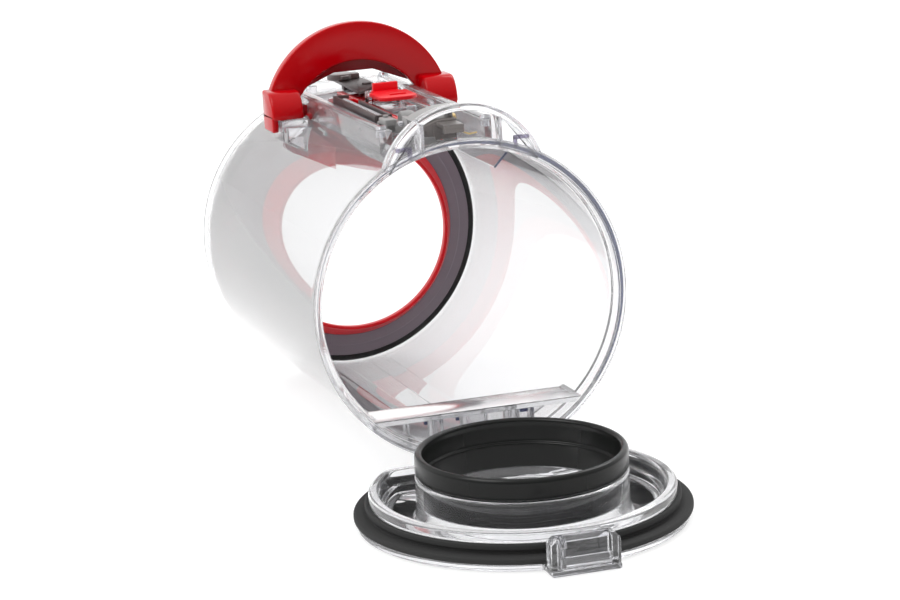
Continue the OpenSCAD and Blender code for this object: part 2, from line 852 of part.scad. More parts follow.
module release_button() {
    x1 = carrier_half - carrier_wall - gap;
    front = button_y - button_len;
    rear = button_y - 6;
    color([0.85, 0.06, 0.07]) on_bin() difference() {
        union() {
            translate([0, 0, tab_z]) linear_extrude(tab_t) {
                polygon([[-button_half, front + 2], [-button_half + 3, front], [button_half - 3, front],
                    [button_half, front + 3], [button_half, rear], [-button_half, rear]]);
            }
            block([-x1, rear - 0.5, button_z - 1], [x1, button_y, tab_z + tab_t]);
            rod_x(2.2, -x1, x1, button_y, button_z);
            // Upright tab and the rib on the flat tab
            block([-5, button_y - 3, tab_z + 1], [5.5, button_y - 0.6, tab_z + 4.6]);
            block([-2.6, front + 6, tab_z + 1], [4.4, front + 7.6, tab_z + 2.2]);
        }
        rod_x(button_pin_r + button_fit, -far, far, button_y, button_z);
    }
}

// ---- lid ----

module lid_base() {
    color([0.92, 0.93, 0.95, 0.4]) on_lid() {
        difference() {
            union() {
                // Plate with the tongues under the arms and the clip
                linear_extrude(plate_t) {
                    d_shape(plate_r, plate_flat, tray_corner);
                    translate([-notch_out + arm_gap, 0]) {
                        square([2 * (notch_out - arm_gap), hinge_drop + arm_half]);
                    }
                    translate([-clip_half, -foot_out]) square([clip_w, 30]);
                }
                // Raised rim and inner ridge of the tray
                d_wall(rim_r, rim_flat, tray_corner, rim_r - rim_w, rim_flat - rim_w, tray_corner - 3,
                    plate_t - eps, rim_h);
                intersection() {
                    translate([0, 0, plate_t - eps]) linear_extrude(ridge_h - plate_t) difference() {
                        circle(ridge_out);
                        circle(ridge_in);
                    }
                    block([-far, -far, 0], [far, rim_flat - 1, far]);
                }
                // Arms up to the hinge pin
                both_sides() translate([notch_in + arm_gap, 0, 0]) {
                    block([0, hinge_drop - arm_half, 0], [arm_w, hinge_drop + arm_half, hinge_up]);
                    rod_x(knuckle_r, 0, arm_w, hinge_drop, hinge_up);
                }
            }
            translate([0, 0, -1]) cylinder(r = core_r, h = far);
            rod_x(hinge_pin_r + hinge_fit, -far, far, hinge_drop, hinge_up);
            // Gap between the two arms' tongues
            block([-notch_in, plate_flat + 3, -1], [notch_in, far, far]);
        }
    }
}

module lid_core() {
    color([0.92, 0.93, 0.95, 0.4]) on_lid() difference() {
        cylinder(r = core_r, h = core_h);
        translate([0, 0, gasket_seat]) cylinder(r = core_ir, h = far);
        translate([0, 0, -1]) cylinder(r = gasket_bore + core_step, h = far);
    }
}

module lid_clip() {
    color([0.92, 0.93, 0.95, 0.5]) on_lid() translate([0, -clip_in, 0]) difference() {
        union() {
            both_sides() block([clip_half - cheek_t, -clip_d, plate_t], [clip_half, 0, clip_h]);
            // Outer wall, low enough for the latch's arm
            block([-clip_half, -clip_d, plate_t], [clip_half, clip_wall - clip_d, clip_low]);
            both_sides() block([clip_slot, -clip_d, plate_t], [clip_half, clip_wall - clip_d, clip_h]);
            // Bar that the latch's barb catches
            block([-clip_half, -clip_bar_d, clip_h - clip_bar_h], [clip_half, 0, clip_h]);
            both_sides() block([clip_slot, -clip_bar_d, plate_t], [clip_slot + 1.4, 0, clip_h]);
        }
        // Chamfered outer corners
        both_sides() translate([clip_half, 0, clip_h]) rotate([0, 45, 0])
            block([-1.6, -far, -2], [4, far, 4]);
    }
}

module lid_seal() {
    color([0.05, 0.05, 0.05]) on_lid() {
        d_wall(lip_r, lip_flat, tray_corner, rim_r, rim_flat, tray_corner, plate_t, lip_top);
        d_wall(upper_r, upper_flat, tray_corner, rim_r, rim_flat, tray_corner, lip_top - eps, upper_top);
    }
}

module gasket_ring() {
    ledge = gasket_bore + 1;
    color([0.08, 0.08, 0.08]) on_lid() rotate_extrude() polygon([[gasket_bore, gasket_seat],
        [core_ir, gasket_seat], [core_ir, core_h + 0.2], [gasket_top_r, core_h + 0.8],
        [gasket_top_r, gasket_h - 1], [gasket_top_r - 0.8, gasket_h], [ledge + 0.6, gasket_h],
        [ledge, gasket_h - 0.6], [ledge, gasket_seat + throat_h], [gasket_bore, gasket_seat + throat_h]]);
}

bin_tube();
latch_hood();
runner_rails();
button_carrier();
lever_guides();
deflector_tab();
fill_mark();
rear_collar();
wiper_plate();
wiper_seal();
runner_channel();
rear_bracket();
rear_boss();
latch_bracket();
runner_screws();
hinge_pin();
latch_pin();
button_pin();
latch_spring();
lever_spring();
button_spring();
release_lever();
lever_lining();
lever_crosspiece();
lever_screws();
push_rod();
slide_block();
latch_lever();
release_button();
lid_base();
lid_core();
lid_clip();
lid_seal();
gasket_ring();
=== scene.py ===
import json
import logging
import math
from dataclasses import dataclass
from enum import Enum
from typing import Callable, ClassVar, Sequence

import bmesh
import bpy
import numpy as np
from mathutils import Euler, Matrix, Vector


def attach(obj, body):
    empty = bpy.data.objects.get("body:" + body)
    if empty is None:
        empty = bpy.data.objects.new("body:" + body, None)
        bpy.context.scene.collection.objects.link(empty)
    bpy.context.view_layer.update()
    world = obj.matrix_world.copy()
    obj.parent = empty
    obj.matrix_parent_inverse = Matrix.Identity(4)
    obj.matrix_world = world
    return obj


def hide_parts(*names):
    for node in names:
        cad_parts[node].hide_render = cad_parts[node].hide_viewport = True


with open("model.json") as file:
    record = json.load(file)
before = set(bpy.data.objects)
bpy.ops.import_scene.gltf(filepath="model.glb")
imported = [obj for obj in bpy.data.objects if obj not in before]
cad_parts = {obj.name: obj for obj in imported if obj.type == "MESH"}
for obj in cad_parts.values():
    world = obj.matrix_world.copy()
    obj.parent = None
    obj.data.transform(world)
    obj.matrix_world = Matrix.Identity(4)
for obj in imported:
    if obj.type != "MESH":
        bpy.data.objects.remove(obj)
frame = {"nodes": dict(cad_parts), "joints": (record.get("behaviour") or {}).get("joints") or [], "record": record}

LOG = logging.getLogger("dust_bin")
MM = 0.001
TURN = 2 * math.pi
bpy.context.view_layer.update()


# ---- surfaces ----

class Axis(Enum):
    """Which way a carried outline runs."""

    ACROSS = "x"
    ALONG = "y"
    UP = "z"


@dataclass
class Surface:
    """Points of one or more closed shells and the faces that join them, in millimetres."""

    points: np.ndarray
    faces: list

    def __add__(self, other: "Surface") -> "Surface":
        """Both surfaces as one."""
        moved = [tuple(i + len(self.points) for i in f) for f in other.faces]
        return Surface(np.vstack([self.points, other.points]), self.faces + moved)

    def mirrored(self) -> "Surface":
        """The same surface on the other side of the middle plane."""
        return Surface(self.points * np.array([-1, 1, 1]), self.faces)

    def both_sides(self) -> "Surface":
        """The surface and its mirror image."""
        return self + self.mirrored()


def joined(parts: Sequence[Surface]) -> Surface:
    """One surface from several.

    Args:
        parts: the surfaces to put together.

    Returns:
        A surface with every shell of the parts.
    """
    whole = parts[0]
    for part in parts[1:]:
        whole = whole + part
    return whole


def grid(points: np.ndarray, loop_rows: bool, loop_columns: bool, capped: bool = False) -> Surface:
    """Quads over a grid of points, row by row.

    Args:
        points: array of rows x columns x 3.
        loop_rows: the last row joins the first.
        loop_columns: the last column joins the first.
        capped: the first and last rows are closed with one face each.

    Returns:
        The surface of the grid.
    """
    rows, columns = points.shape[:2]
    i = np.arange(rows if loop_rows else rows - 1)[:, None]
    j = np.arange(columns if loop_columns else columns - 1)[None, :]
    k, m = (i + 1) % rows, (j + 1) % columns
    quads = np.stack([i * columns + j, k * columns + j, k * columns + m, i * columns + m], -1)
    faces = [tuple(q) for q in quads.reshape(-1, 4).tolist()]
    if capped:
        faces.append(tuple(range(columns)))
        faces.append(tuple(range((rows - 1) * columns, rows * columns)))
    return Surface(points.reshape(-1, 3), faces)


def softened(corners: Sequence[Sequence[float]], radius: float, steps: int = 5) -> np.ndarray:
    """A closed outline whose corners are rounded: each corner C becomes the curve
    (1-t)^2 A + 2t(1-t) C + t^2 B between points A and B a radius away on its two edges.

    Args:
        corners: the corners in order.
        radius: how far from a corner its curve starts, at most 0.45 of an edge.
        steps: points on each curve.

    Returns:
        Array of points x 2.
    """
    c = np.asarray(corners, float)
    before, after = np.roll(c, 1, 0) - c, np.roll(c, -1, 0) - c
    reach_a, reach_b = np.linalg.norm(before, axis=1), np.linalg.norm(after, axis=1)
    a = c + before / reach_a[:, None] * np.minimum(radius, 0.45 * reach_a)[:, None]
    b = c + after / reach_b[:, None] * np.minimum(radius, 0.45 * reach_b)[:, None]
    t = np.linspace(0, 1, steps)[None, :, None]
    return ((1 - t) ** 2 * a[:, None] + 2 * t * (1 - t) * c[:, None] + t ** 2 * b[:, None]).reshape(-1, 2)


def inset(outline: np.ndarray, depth: float) -> np.ndarray:
    """The outline moved inwards: each point goes along the mean of its two edges' normals,
    lengthened so that both edges move by the depth.

    Args:
        outline: points x 2 of a closed outline, either way round.
        depth: how far its edges move.

    Returns:
        The moved outline.
    """
    edge = np.roll(outline, -1, 0) - outline
    edge = edge / np.maximum(np.linalg.norm(edge, axis=1), 1e-9)[:, None]
    normal = np.stack([-edge[:, 1], edge[:, 0]], 1)
    x, y = outline.T
    if np.sum(x * np.roll(y, -1) - np.roll(x, -1) * y) < 0:
        normal = -normal
    mean = normal + np.roll(normal, 1, 0)
    stretch = np.maximum(np.sum(mean * mean, 1) / 2, 0.4)
    return outline + mean / stretch[:, None] * depth


def carried(outline: np.ndarray, start: float, end: float, bevel: float, axis: Axis) -> Surface:
    """An outline carried straight along an axis, its two end edges rounded: at angle t
    the outline is moved in by bevel (1 - sin t) and stands bevel (1 - cos t) from the end.

    Args:
        outline: points x 2 in the plane across the axis, in the order of the other two axes.
        start: where it starts.
        end: where it ends.
        bevel: radius of the end edges.
        axis: the axis it runs along.

    Returns:
        A closed surface.
    """
    t = np.linspace(0, math.pi / 2, 4)
    moves = np.concatenate([bevel * (1 - np.sin(t)), bevel * (1 - np.sin(t))[::-1]])
    places = np.concatenate([start + bevel * (1 - np.cos(t)), (end - bevel * (1 - np.cos(t)))[::-1]])
    rings = np.stack([inset(outline, m) if m > 1e-9 else outline for m in moves])
    along = np.broadcast_to(places[:, None], rings.shape[:2])
    first, second = rings[..., 0], rings[..., 1]
    order = {Axis.ACROSS: (along, first, second), Axis.ALONG: (first, along, second),
             Axis.UP: (first, second, along)}[axis]
    return grid(np.stack(order, -1), False, True, True)


def block(low: Sequence[float], high: Sequence[float], bevel: float = 0.35) -> Surface:
    """A moulded block with rounded corners and edges.

    Args:
        low: its lowest corner.
        high: its highest corner.
        bevel: radius of its edges.

    Returns:
        A closed surface.
    """
    (x0, y0, z0), (x1, y1, z1) = low, high
    return carried(softened([(x0, y0), (x1, y0), (x1, y1), (x0, y1)], bevel * 1.6, 4), z0, z1, bevel, Axis.UP)


def blocks(*rows: tuple) -> Surface:
    """Several moulded blocks.

    Args:
        rows: seven numbers each: the lowest corner, the highest corner and the radius of the edges.

    Returns:
        Their closed surfaces as one.
    """
    return joined([block(row[:3], row[3:6], row[6]) for row in rows])


def round_bar(radius: float, start: float, end: float, centre: tuple, axis: Axis, bevel: float = 0.25,
              sides: int = 32) -> Surface:
    """A round bar with softened ends.

    Args:
        radius: its radius.
        start: where it starts along the axis.
        end: where it ends.
        centre: its place in the plane across the axis.
        axis: the axis it runs along.
        bevel: radius of its end edges.
        sides: how many sides stand for the circle.

    Returns:
        A closed surface.
    """
    a = np.linspace(0, TURN, sides, endpoint=False)
    ring = np.stack([centre[0] + radius * np.cos(a), centre[1] + radius * np.sin(a)], 1)
    return carried(ring, start, end, bevel, axis)


def turned(profile: np.ndarray, axis: Axis, centre: tuple = (0.0, 0.0), sides: int = 256,
           sector: tuple = (0.0, TURN), ripple: Callable = None) -> Surface:
    """A closed profile of (radius, place along the axis) turned about the axis:
    each point runs on radius (cos a, sin a) round the centre.

    Args:
        profile: points x 2 of a closed outline.
        axis: the axis it turns about, along or up.
        centre: where the axis stands in the plane across it.
        sides: steps of a whole turn.
        sector: first and last angle; a part turn is closed with flat ends.
        ripple: takes angle, radius and place, gives the change of radius.

    Returns:
        A closed surface.
    """
    whole = sector[1] - sector[0] > TURN - 1e-6
    count = sides if whole else max(8, int(sides * (sector[1] - sector[0]) / TURN))
    a = np.linspace(sector[0], sector[1], count, endpoint=not whole)[:, None]
    r, place = profile[None, :, 0], profile[None, :, 1]
    if ripple is not None:
        r = r + ripple(a, r, place)
    first, second = centre[0] + r * np.cos(a), centre[1] + r * np.sin(a)
    along = np.broadcast_to(place, first.shape)
    order = (first, along, second) if axis is Axis.ALONG else (first, second, along)
    return grid(np.stack(order, -1), whole, True, not whole)


def tray_radius(angle: np.ndarray, radius: np.ndarray, flat: np.ndarray) -> np.ndarray:
    """Distance from the centre to a circle cut straight at y = flat, with soft corners:
    (radius^-p + d^-p)^(-1/p), where d = flat / sin(angle) on the cut side.

    Args:
        angle: the angle from the x axis.
        radius: the circle's radius.
        flat: the distance of the straight edge.

    Returns:
        The distance for each angle.
    """
    power = 48.0
    away = flat / np.maximum(np.sin(angle), 0.02)
    return (radius ** -power + away ** -power) ** (-1 / power)


def tray_wall(profile: np.ndarray, sides: int = 384) -> Surface:
    """A closed profile of (radius, flat, height) carried round the D-shaped outline of the lid.

    Args:
        profile: points x 3.
        sides: steps round the outline.

    Returns:
        A closed surface.
    """
    a = np.linspace(0, TURN, sides, endpoint=False)[:, None]
    r = tray_radius(a, profile[None, :, 0], profile[None, :, 1])
    height = np.broadcast_to(profile[None, :, 2], r.shape)
    return grid(np.stack([r * np.cos(a), r * np.sin(a), height], -1), True, True)


def softened_tray(corners: Sequence[Sequence[float]], radius: float, steps: int = 5) -> np.ndarray:
    """A closed profile of (radius, height, flat) with rounded corners; the flat follows the same curve.

    Args:
        corners: (radius, height, flat) of each corner.
        radius: how far from a corner its curve starts.
        steps: points on each curve.

    Returns:
        Array of points x 3 as (radius, flat, height).
    """
    c = np.asarray(corners, float)
    plain = softened(c[:, :2], radius, steps)
    side = softened(c[:, [2, 1]], radius, steps)
    return np.stack([plain[:, 0], side[:, 0], plain[:, 1]], 1)


def drawn(path: np.ndarray, radius: float, sides: int = 10) -> Surface:
    """A wire: a circle carried along a path, held square to it. The side vectors at each
    point are the cross products of the path's direction with a fixed vector and with each other.

    Args:
        path: points x 3.
        radius: the wire's radius.
        sides: sides of the wire.

    Returns:
        A closed surface.
    """
    way = np.gradient(path, axis=0)
    way = way / np.linalg.norm(way, axis=1)[:, None]
    fixed = np.array([0.31, 0.22, 0.92])
    across = np.cross(way, fixed)
    across = across / np.linalg.norm(across, axis=1)[:, None]
    other = np.cross(way, across)
    a = np.linspace(0, TURN, sides, endpoint=False)
    ring = across[:, None] * np.cos(a)[None, :, None] + other[:, None] * np.sin(a)[None, :, None]
    return grid(path[:, None] + ring * radius, False, True, True)


def coil(radius: float, start: float, end: float, centre: tuple, turns: float, wire: float,
         axis: Axis) -> Surface:
    """A coil spring: a wire whose path turns at a steady rate while it moves along the axis.

    Args:
        radius: mean radius of the coil.
        start: where it starts along the axis.
        end: where it ends.
        centre: its place in the plane across the axis.
        turns: number of turns.
        wire: radius of the wire.
        axis: the axis it runs along.

    Returns:
        A closed surface.
    """
    t = np.linspace(0, 1, int(turns * 24) + 1)
    a, b = centre[0] + radius * np.cos(TURN * turns * t), centre[1] + radius * np.sin(TURN * turns * t)
    along = start + (end - start) * t
    order = {Axis.ACROSS: (along, a, b), Axis.ALONG: (a, along, b), Axis.UP: (a, b, along)}[axis]
    return drawn(np.stack(order, 1), wire, 8)


# ---- placing ----

@dataclass(frozen=True)
class Place:
    """Where a sub-assembly's own millimetres stand in the frame's metres."""

    pivot: tuple
    rest: tuple
    lean: float

    def world(self, points: np.ndarray) -> np.ndarray:
        """The points turned by the lean about the pivot and moved to its place, in metres."""
        d = points - np.array(self.pivot)
        c, s = math.cos(self.lean), math.sin(self.lean)
        turned_points = np.stack([d[:, 0], d[:, 1] * c + d[:, 2] * s, d[:, 2] * c - d[:, 1] * s], 1)
        return turned_points * MM + np.array(self.rest)


def joint(name: str) -> dict:
    """The frame's joint of that name."""
    return next(j for j in frame["joints"] if j["name"] == name)


HINGE_BACK, HINGE_DROP = 8.2, 57.0
HINGE_AT = tuple(joint("lid_hinge")["pos_m"])
ON_BIN = Place((0, HINGE_BACK, -HINGE_DROP), HINGE_AT, math.asin(joint("lever_slide")["axis"][2]))
ON_LID = Place((0, HINGE_DROP, 0), (0, HINGE_AT[1], 0), 0.0)


# ---- shader groups and finishes ----

def new_group(name: str, inputs: Sequence[tuple], outputs: Sequence[tuple]) -> bpy.types.NodeTree:
    """A shader node group with named sockets and its two end nodes.

    Args:
        name: the group's name.
        inputs: (name, socket type, default) of each input.
        outputs: (name, socket type) of each output.

    Returns:
        The node tree, with nodes named In and Out.
    """
    tree = bpy.data.node_groups.new(name, "ShaderNodeTree")
    for label, kind, default in inputs:
        tree.interface.new_socket(label, in_out="INPUT", socket_type=kind).default_value = default
    for label, kind in outputs:
        tree.interface.new_socket(label, in_out="OUTPUT", socket_type=kind)
    tree.nodes.new("NodeGroupInput").name = "In"
    tree.nodes.new("NodeGroupOutput").name = "Out"
    return tree


def math_node(tree: bpy.types.NodeTree, kind: str, first: object, second: object) -> bpy.types.NodeSocket:
    """A Math node fed with sockets or numbers.

    Args:
        tree: the tree it goes into.
        kind: the operation.
        first: socket or number.
        second: socket or number.

    Returns:
        Its output socket.
    """
    node = tree.nodes.new("ShaderNodeMath")
    node.operation = kind
    for slot, value in zip(node.inputs, (first, second)):
        if isinstance(value, bpy.types.NodeSocket):
            tree.links.new(value, slot)
        else:
            slot.default_value = value
    return node.outputs[0]


def held(tree: bpy.types.NodeTree, value: bpy.types.NodeSocket) -> bpy.types.NodeSocket:
    """A value held between nought and one.

    Args:
        tree: the tree it goes into.
        value: the socket to hold.

    Returns:
        The held value's socket.
    """
    return math_node(tree, "MINIMUM", math_node(tree, "MAXIMUM", value, 0.0), 1.0)


def noise(tree: bpy.types.NodeTree, scale: object, detail: float) -> bpy.types.NodeSocket:
    """A noise over Object coordinates; its value lies round a half.

    Args:
        tree: the tree it goes into.
        scale: socket or number.
        detail: octaves.

    Returns:
        The noise's value socket.
    """
    place = tree.nodes.new("ShaderNodeTexCoord")
    node = tree.nodes.new("ShaderNodeTexNoise")
    node.inputs["Detail"].default_value = detail
    tree.links.new(place.outputs["Object"], node.inputs["Vector"])
    if isinstance(scale, bpy.types.NodeSocket):
        tree.links.new(scale, node.inputs["Scale"])
    else:
        node.inputs["Scale"].default_value = scale
    return node.outputs["Fac"]


def moulded_grain() -> bpy.types.NodeTree:
    """Roughness that drifts over a moulded face and the small height of its skin.

    Returns:
        The group: Roughness = base + spread (noise - 1/2), Height = fine noise x depth.
    """
    tree = new_group("moulded_grain", (("Base", "NodeSocketFloat", 0.2), ("Spread", "NodeSocketFloat", 0.1),
                     ("Scale", "NodeSocketFloat", 60.0), ("Depth", "NodeSocketFloat", 0.2)),
                     (("Roughness", "NodeSocketFloat"), ("Height", "NodeSocketFloat")))
    given, out = tree.nodes["In"].outputs, tree.nodes["Out"].inputs
    drift = math_node(tree, "SUBTRACT", noise(tree, given["Scale"], 3.0), 0.5)
    rough = math_node(tree, "ADD", given["Base"], math_node(tree, "MULTIPLY", drift, given["Spread"]))
    tree.links.new(math_node(tree, "MAXIMUM", rough, 0.0), out["Roughness"])
    fine = noise(tree, math_node(tree, "MULTIPLY", given["Scale"], 9.0), 2.0)
    tree.links.new(math_node(tree, "MULTIPLY", fine, given["Depth"]), out["Height"])
    return tree


def tone_drift() -> bpy.types.NodeTree:
    """A colour that drifts slowly towards a second one, with fine dust specks of a third.

    Returns:
        The group: Color = mix(first, second, share x noise), then specks where a fine noise is high.
    """
    white = (1, 1, 1, 1)
    tree = new_group("tone_drift", (("First", "NodeSocketColor", white), ("Second", "NodeSocketColor", white),
                     ("Share", "NodeSocketFloat", 0.5), ("Scale", "NodeSocketFloat", 12.0),
                     ("Speck Color", "NodeSocketColor", white), ("Specks", "NodeSocketFloat", 0.0)),
                     (("Color", "NodeSocketColor"),))
    given, out = tree.nodes["In"].outputs, tree.nodes["Out"].inputs
    mix = tree.nodes.new("ShaderNodeMix")
    mix.data_type = "RGBA"
    share = math_node(tree, "MULTIPLY", noise(tree, given["Scale"], 3.0), given["Share"])
    tree.links.new(share, mix.inputs["Factor"])
    tree.links.new(given["First"], mix.inputs["A"])
    tree.links.new(given["Second"], mix.inputs["B"])
    high = math_node(tree, "MULTIPLY", math_node(tree, "SUBTRACT", noise(tree, 900.0, 1.0), 0.66), 12.0)
    mask = math_node(tree, "MULTIPLY", held(tree, high), given["Specks"])
    dust = tree.nodes.new("ShaderNodeMix")
    dust.data_type = "RGBA"
    tree.links.new(mask, dust.inputs["Factor"])
    tree.links.new(mix.outputs["Result"], dust.inputs["A"])
    tree.links.new(given["Speck Color"], dust.inputs["B"])
    tree.links.new(dust.outputs["Result"], out["Color"])
    return tree


GRAIN = moulded_grain()
TONE = tone_drift()


def set_inputs(node: bpy.types.Node, values: Sequence[tuple]) -> None:
    """Sets a node's sockets.

    Args:
        node: the node.
        values: (socket name, value) of each.
    """
    for label, value in values:
        node.inputs[label].default_value = value


@dataclass(frozen=True)
class Finish:
    """What a material is made of: two tones, its gloss, grain and, for clear plastic, its transmission."""

    name: str
    tone: tuple
    second: tuple
    roughness: float
    spread: float = 0.06
    scale: float = 60.0
    depth: float = 0.15
    bump: float = 0.02
    metallic: float = 0.0
    transmission: float = 0.0
    ior: float = 1.5
    coat: float = 0.0
    coat_roughness: float = 0.05
    specular: float = 0.5
    specks: float = 0.0
    speck_tone: tuple = (0.8, 0.8, 0.82)
    share: float = 0.8
    tone_scale: float = 14.0

    def material(self) -> bpy.types.Material:
        """Builds the material once and gives it again after that.

        Returns:
            The material.
        """
        if self.name in bpy.data.materials:
            return bpy.data.materials[self.name]
        made = bpy.data.materials.new(self.name)
        made.use_nodes = True
        tree = made.node_tree
        shader = tree.nodes["Principled BSDF"]
        grain, tone = tree.nodes.new("ShaderNodeGroup"), tree.nodes.new("ShaderNodeGroup")
        grain.node_tree, tone.node_tree = GRAIN, TONE
        set_inputs(grain, (("Base", self.roughness), ("Spread", self.spread), ("Scale", self.scale),
                           ("Depth", self.depth)))
        set_inputs(tone, (("First", (*self.tone, 1)), ("Second", (*self.second, 1)), ("Share", self.share),
                          ("Scale", self.tone_scale), ("Speck Color", (*self.speck_tone, 1)),
                          ("Specks", self.specks)))
        tree.links.new(tone.outputs["Color"], shader.inputs["Base Color"])
        tree.links.new(grain.outputs["Roughness"], shader.inputs["Roughness"])
        bump = tree.nodes.new("ShaderNodeBump")
        set_inputs(bump, (("Strength", self.bump), ("Distance", 0.0004)))
        tree.links.new(grain.outputs["Height"], bump.inputs["Height"])
        tree.links.new(bump.outputs["Normal"], shader.inputs["Normal"])
        set_inputs(shader, (("Metallic", self.metallic), ("Transmission Weight", self.transmission),
                            ("IOR", self.ior), ("Coat Weight", self.coat),
                            ("Coat Roughness", self.coat_roughness), ("Specular IOR Level", self.specular)))
        return made


CLEAR = Finish("clear_shell", (0.985, 0.985, 0.992), (0.965, 0.967, 0.985), 0.01, 0.008, 20.0, 0.05, 0.003,
               transmission=0.9, ior=1.46)
CLEAR_THICK = Finish("clear_lid", (0.975, 0.975, 0.988), (0.955, 0.957, 0.978), 0.015, 0.015, 30.0, 0.05,
                     0.004, transmission=0.97, ior=1.49)
HAZY = Finish("clear_rails", (0.96, 0.96, 0.972), (0.93, 0.93, 0.95), 0.06, 0.06, 45.0, 0.3, 0.03,
              transmission=0.93, ior=1.47)
CLEAR_SOFT = Finish("clear_bay", (0.97, 0.97, 0.982), (0.95, 0.952, 0.972), 0.16, 0.08, 30.0, 0.1, 0.01,
                    transmission=0.84, ior=1.42)
# Painted shade: a darker violet clear finish for clear hooks in the corners between hood and bin.
PAINTED_SHADE_VIOLET = Finish("painted_shade_violet", (0.4, 0.36, 0.5), (0.3, 0.27, 0.4), 0.1, 0.05, transmission=0.9, ior=1.46)
# Painted shade: a dark indigo clear finish that stands for the dark lines and patches seen in clear parts, not a
# tint of their plastic.
PAINTED_SHADE_INDIGO = Finish("painted_shade_indigo", (0.16, 0.18, 0.32), (0.1, 0.12, 0.24), 0.08, 0.05, transmission=0.75,
                ior=1.46)
RED = Finish("red_gloss", (0.5, 0.0, 0.003), (0.45, 0.0, 0.003), 0.12, 0.03, 30.0, 0.2, 0.01, specular=0.24)
RED_BRIGHT = Finish("red_collar", (0.78, 0.004, 0.012), (0.7, 0.003, 0.01), 0.3, 0.05, 30.0, 0.2, 0.02,
                    specular=0.3)
RED_DEEP = Finish("red_lining", (0.34, 0.002, 0.006), (0.26, 0.001, 0.004), 0.25, 0.08, 40.0, 0.4, 0.05,
                  specular=0.35)
GREY = Finish("grey_satin", (0.27, 0.265, 0.26), (0.19, 0.185, 0.185), 0.34, 0.12, 70.0, 0.6, 0.1, coat=0.1,
              specks=0.05, speck_tone=(0.3, 0.3, 0.32))
GREY_PLATE = Finish("grey_plate", (0.26, 0.215, 0.25), (0.22, 0.18, 0.21), 0.4, 0.1, 50.0, 0.5, 0.08,
                    specular=0.25)
BROWN_GREY = Finish("latch_grey", (0.21, 0.19, 0.182), (0.14, 0.125, 0.12), 0.3, 0.1, 60.0, 0.5, 0.08,
                    specular=0.4)
DARK_METAL = Finish("dark_metal", (0.09, 0.075, 0.075), (0.17, 0.15, 0.145), 0.34, 0.2, 120.0, 0.6, 0.1,
                    metallic=0.6)
RUBBER = Finish("black_rubber", (0.006, 0.0065, 0.006), (0.01, 0.0105, 0.01), 0.38, 0.12, 50.0, 0.6, 0.06,
                specular=0.16)
GASKET = Finish("black_gasket", (0.006, 0.0065, 0.006), (0.01, 0.0105, 0.01), 0.24, 0.06, 40.0, 0.3, 0.02,
                specular=0.24)
STEEL = Finish("plain_steel", (0.62, 0.62, 0.64), (0.5, 0.5, 0.53), 0.24, 0.12, 90.0, 0.3, 0.05, metallic=1.0)
BRASS = Finish("brass_wire", (0.72, 0.6, 0.36), (0.6, 0.48, 0.28), 0.22, 0.1, 200.0, 0.3, 0.05, metallic=1.0)
INK = Finish("printed_ink", (0.14, 0.01, 0.03), (0.09, 0.006, 0.02), 0.5, 0.1)

SLOT_FINISH = {"clear": CLEAR, "clear_frosted": HAZY, "print": INK, "red": RED, "dark_red": RED_DEEP,
               "grey_plastic": GREY, "dark_metal": DARK_METAL, "black_rubber": RUBBER, "steel": STEEL,
               "brass_wire": BRASS}


def piece(name: str, surface: Surface, finish: Finish, body: str, place: Place,
          stands_for: Sequence[str] = (), cuts: Sequence[Surface] = (),
          sharp: float = 38.0) -> bpy.types.Object:
    """Makes a piece of the object from a surface.

    Args:
        name: the piece's name.
        surface: its shells in the sub-assembly's millimetres.
        finish: what it is made of.
        body: the frame's body that it moves with.
        place: where the sub-assembly stands.
        stands_for: the frame's nodes that it replaces.
        cuts: solids taken out of it.
        sharp: edges that turn by more degrees than this stay sharp.

    Returns:
        The finished object.
    """
    made = mesh_object(name, surface, place)
    for number, cut in enumerate(cuts):
        tool = mesh_object(f"{name}_cut{number}", cut, place)
        boolean = made.modifiers.new("cut", "BOOLEAN")
        boolean.operation, boolean.solver, boolean.object = "DIFFERENCE", "EXACT", tool
        cut_mesh = bpy.data.meshes.new_from_object(made.evaluated_get(bpy.context.evaluated_depsgraph_get()))
        made.modifiers.clear()
        made.data = cut_mesh
        bpy.data.objects.remove(tool)
    made.data.materials.clear()
    made.data.materials.append(finish.material())
    made.data.shade_smooth()
    made.data.set_sharp_from_angle(angle=math.radians(sharp))
    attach(made, body)
    if stands_for:
        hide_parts(*stands_for)
    LOG.info("%s: %d faces on %s", name, len(made.data.polygons), body)
    return made


def mesh_object(name: str, surface: Surface, place: Place) -> bpy.types.Object:
    """An object at the origin whose mesh holds the surface in the frame's metres, all faces outwards.

    Args:
        name: its name.
        surface: its shells.
        place: where they stand.

    Returns:
        The object, linked to the scene.
    """
    mesh = bpy.data.meshes.new(name)
    mesh.from_pydata(place.world(surface.points).tolist(), [], surface.faces)
    work = bmesh.new()
    work.from_mesh(mesh)
    bmesh.ops.remove_doubles(work, verts=work.verts, dist=2e-6)
    bmesh.ops.recalc_face_normals(work, faces=work.faces)
    work.to_mesh(mesh)
    work.free()
    made = bpy.data.objects.new(name, mesh)
    bpy.context.scene.collection.objects.link(made)
    return made


class Group:
    """A sub-assembly, whose pieces ride on one body unless a piece names another."""

    body: ClassVar[str] = "bin"
    place: ClassVar[Place] = ON_BIN

    def add(self, name: str, surface: Surface, finish: Finish, slot: str, *nodes: str,
            cuts: Sequence[Surface] = (), body: str = "") -> None:
        """Makes one piece of the sub-assembly.

        Args:
            name: the piece's name.
            surface: its shells in the sub-assembly's millimetres.
            finish: what it is made of.
            slot: the record's material slot; not used.
            nodes: the frame's nodes that it replaces.
            cuts: solids taken out of it.
            body: the body it moves with, where that is not the sub-assembly's own.
        """
        piece(name, surface, finish, body or self.body, self.place, nodes, cuts)


# ---- the clear bin ----

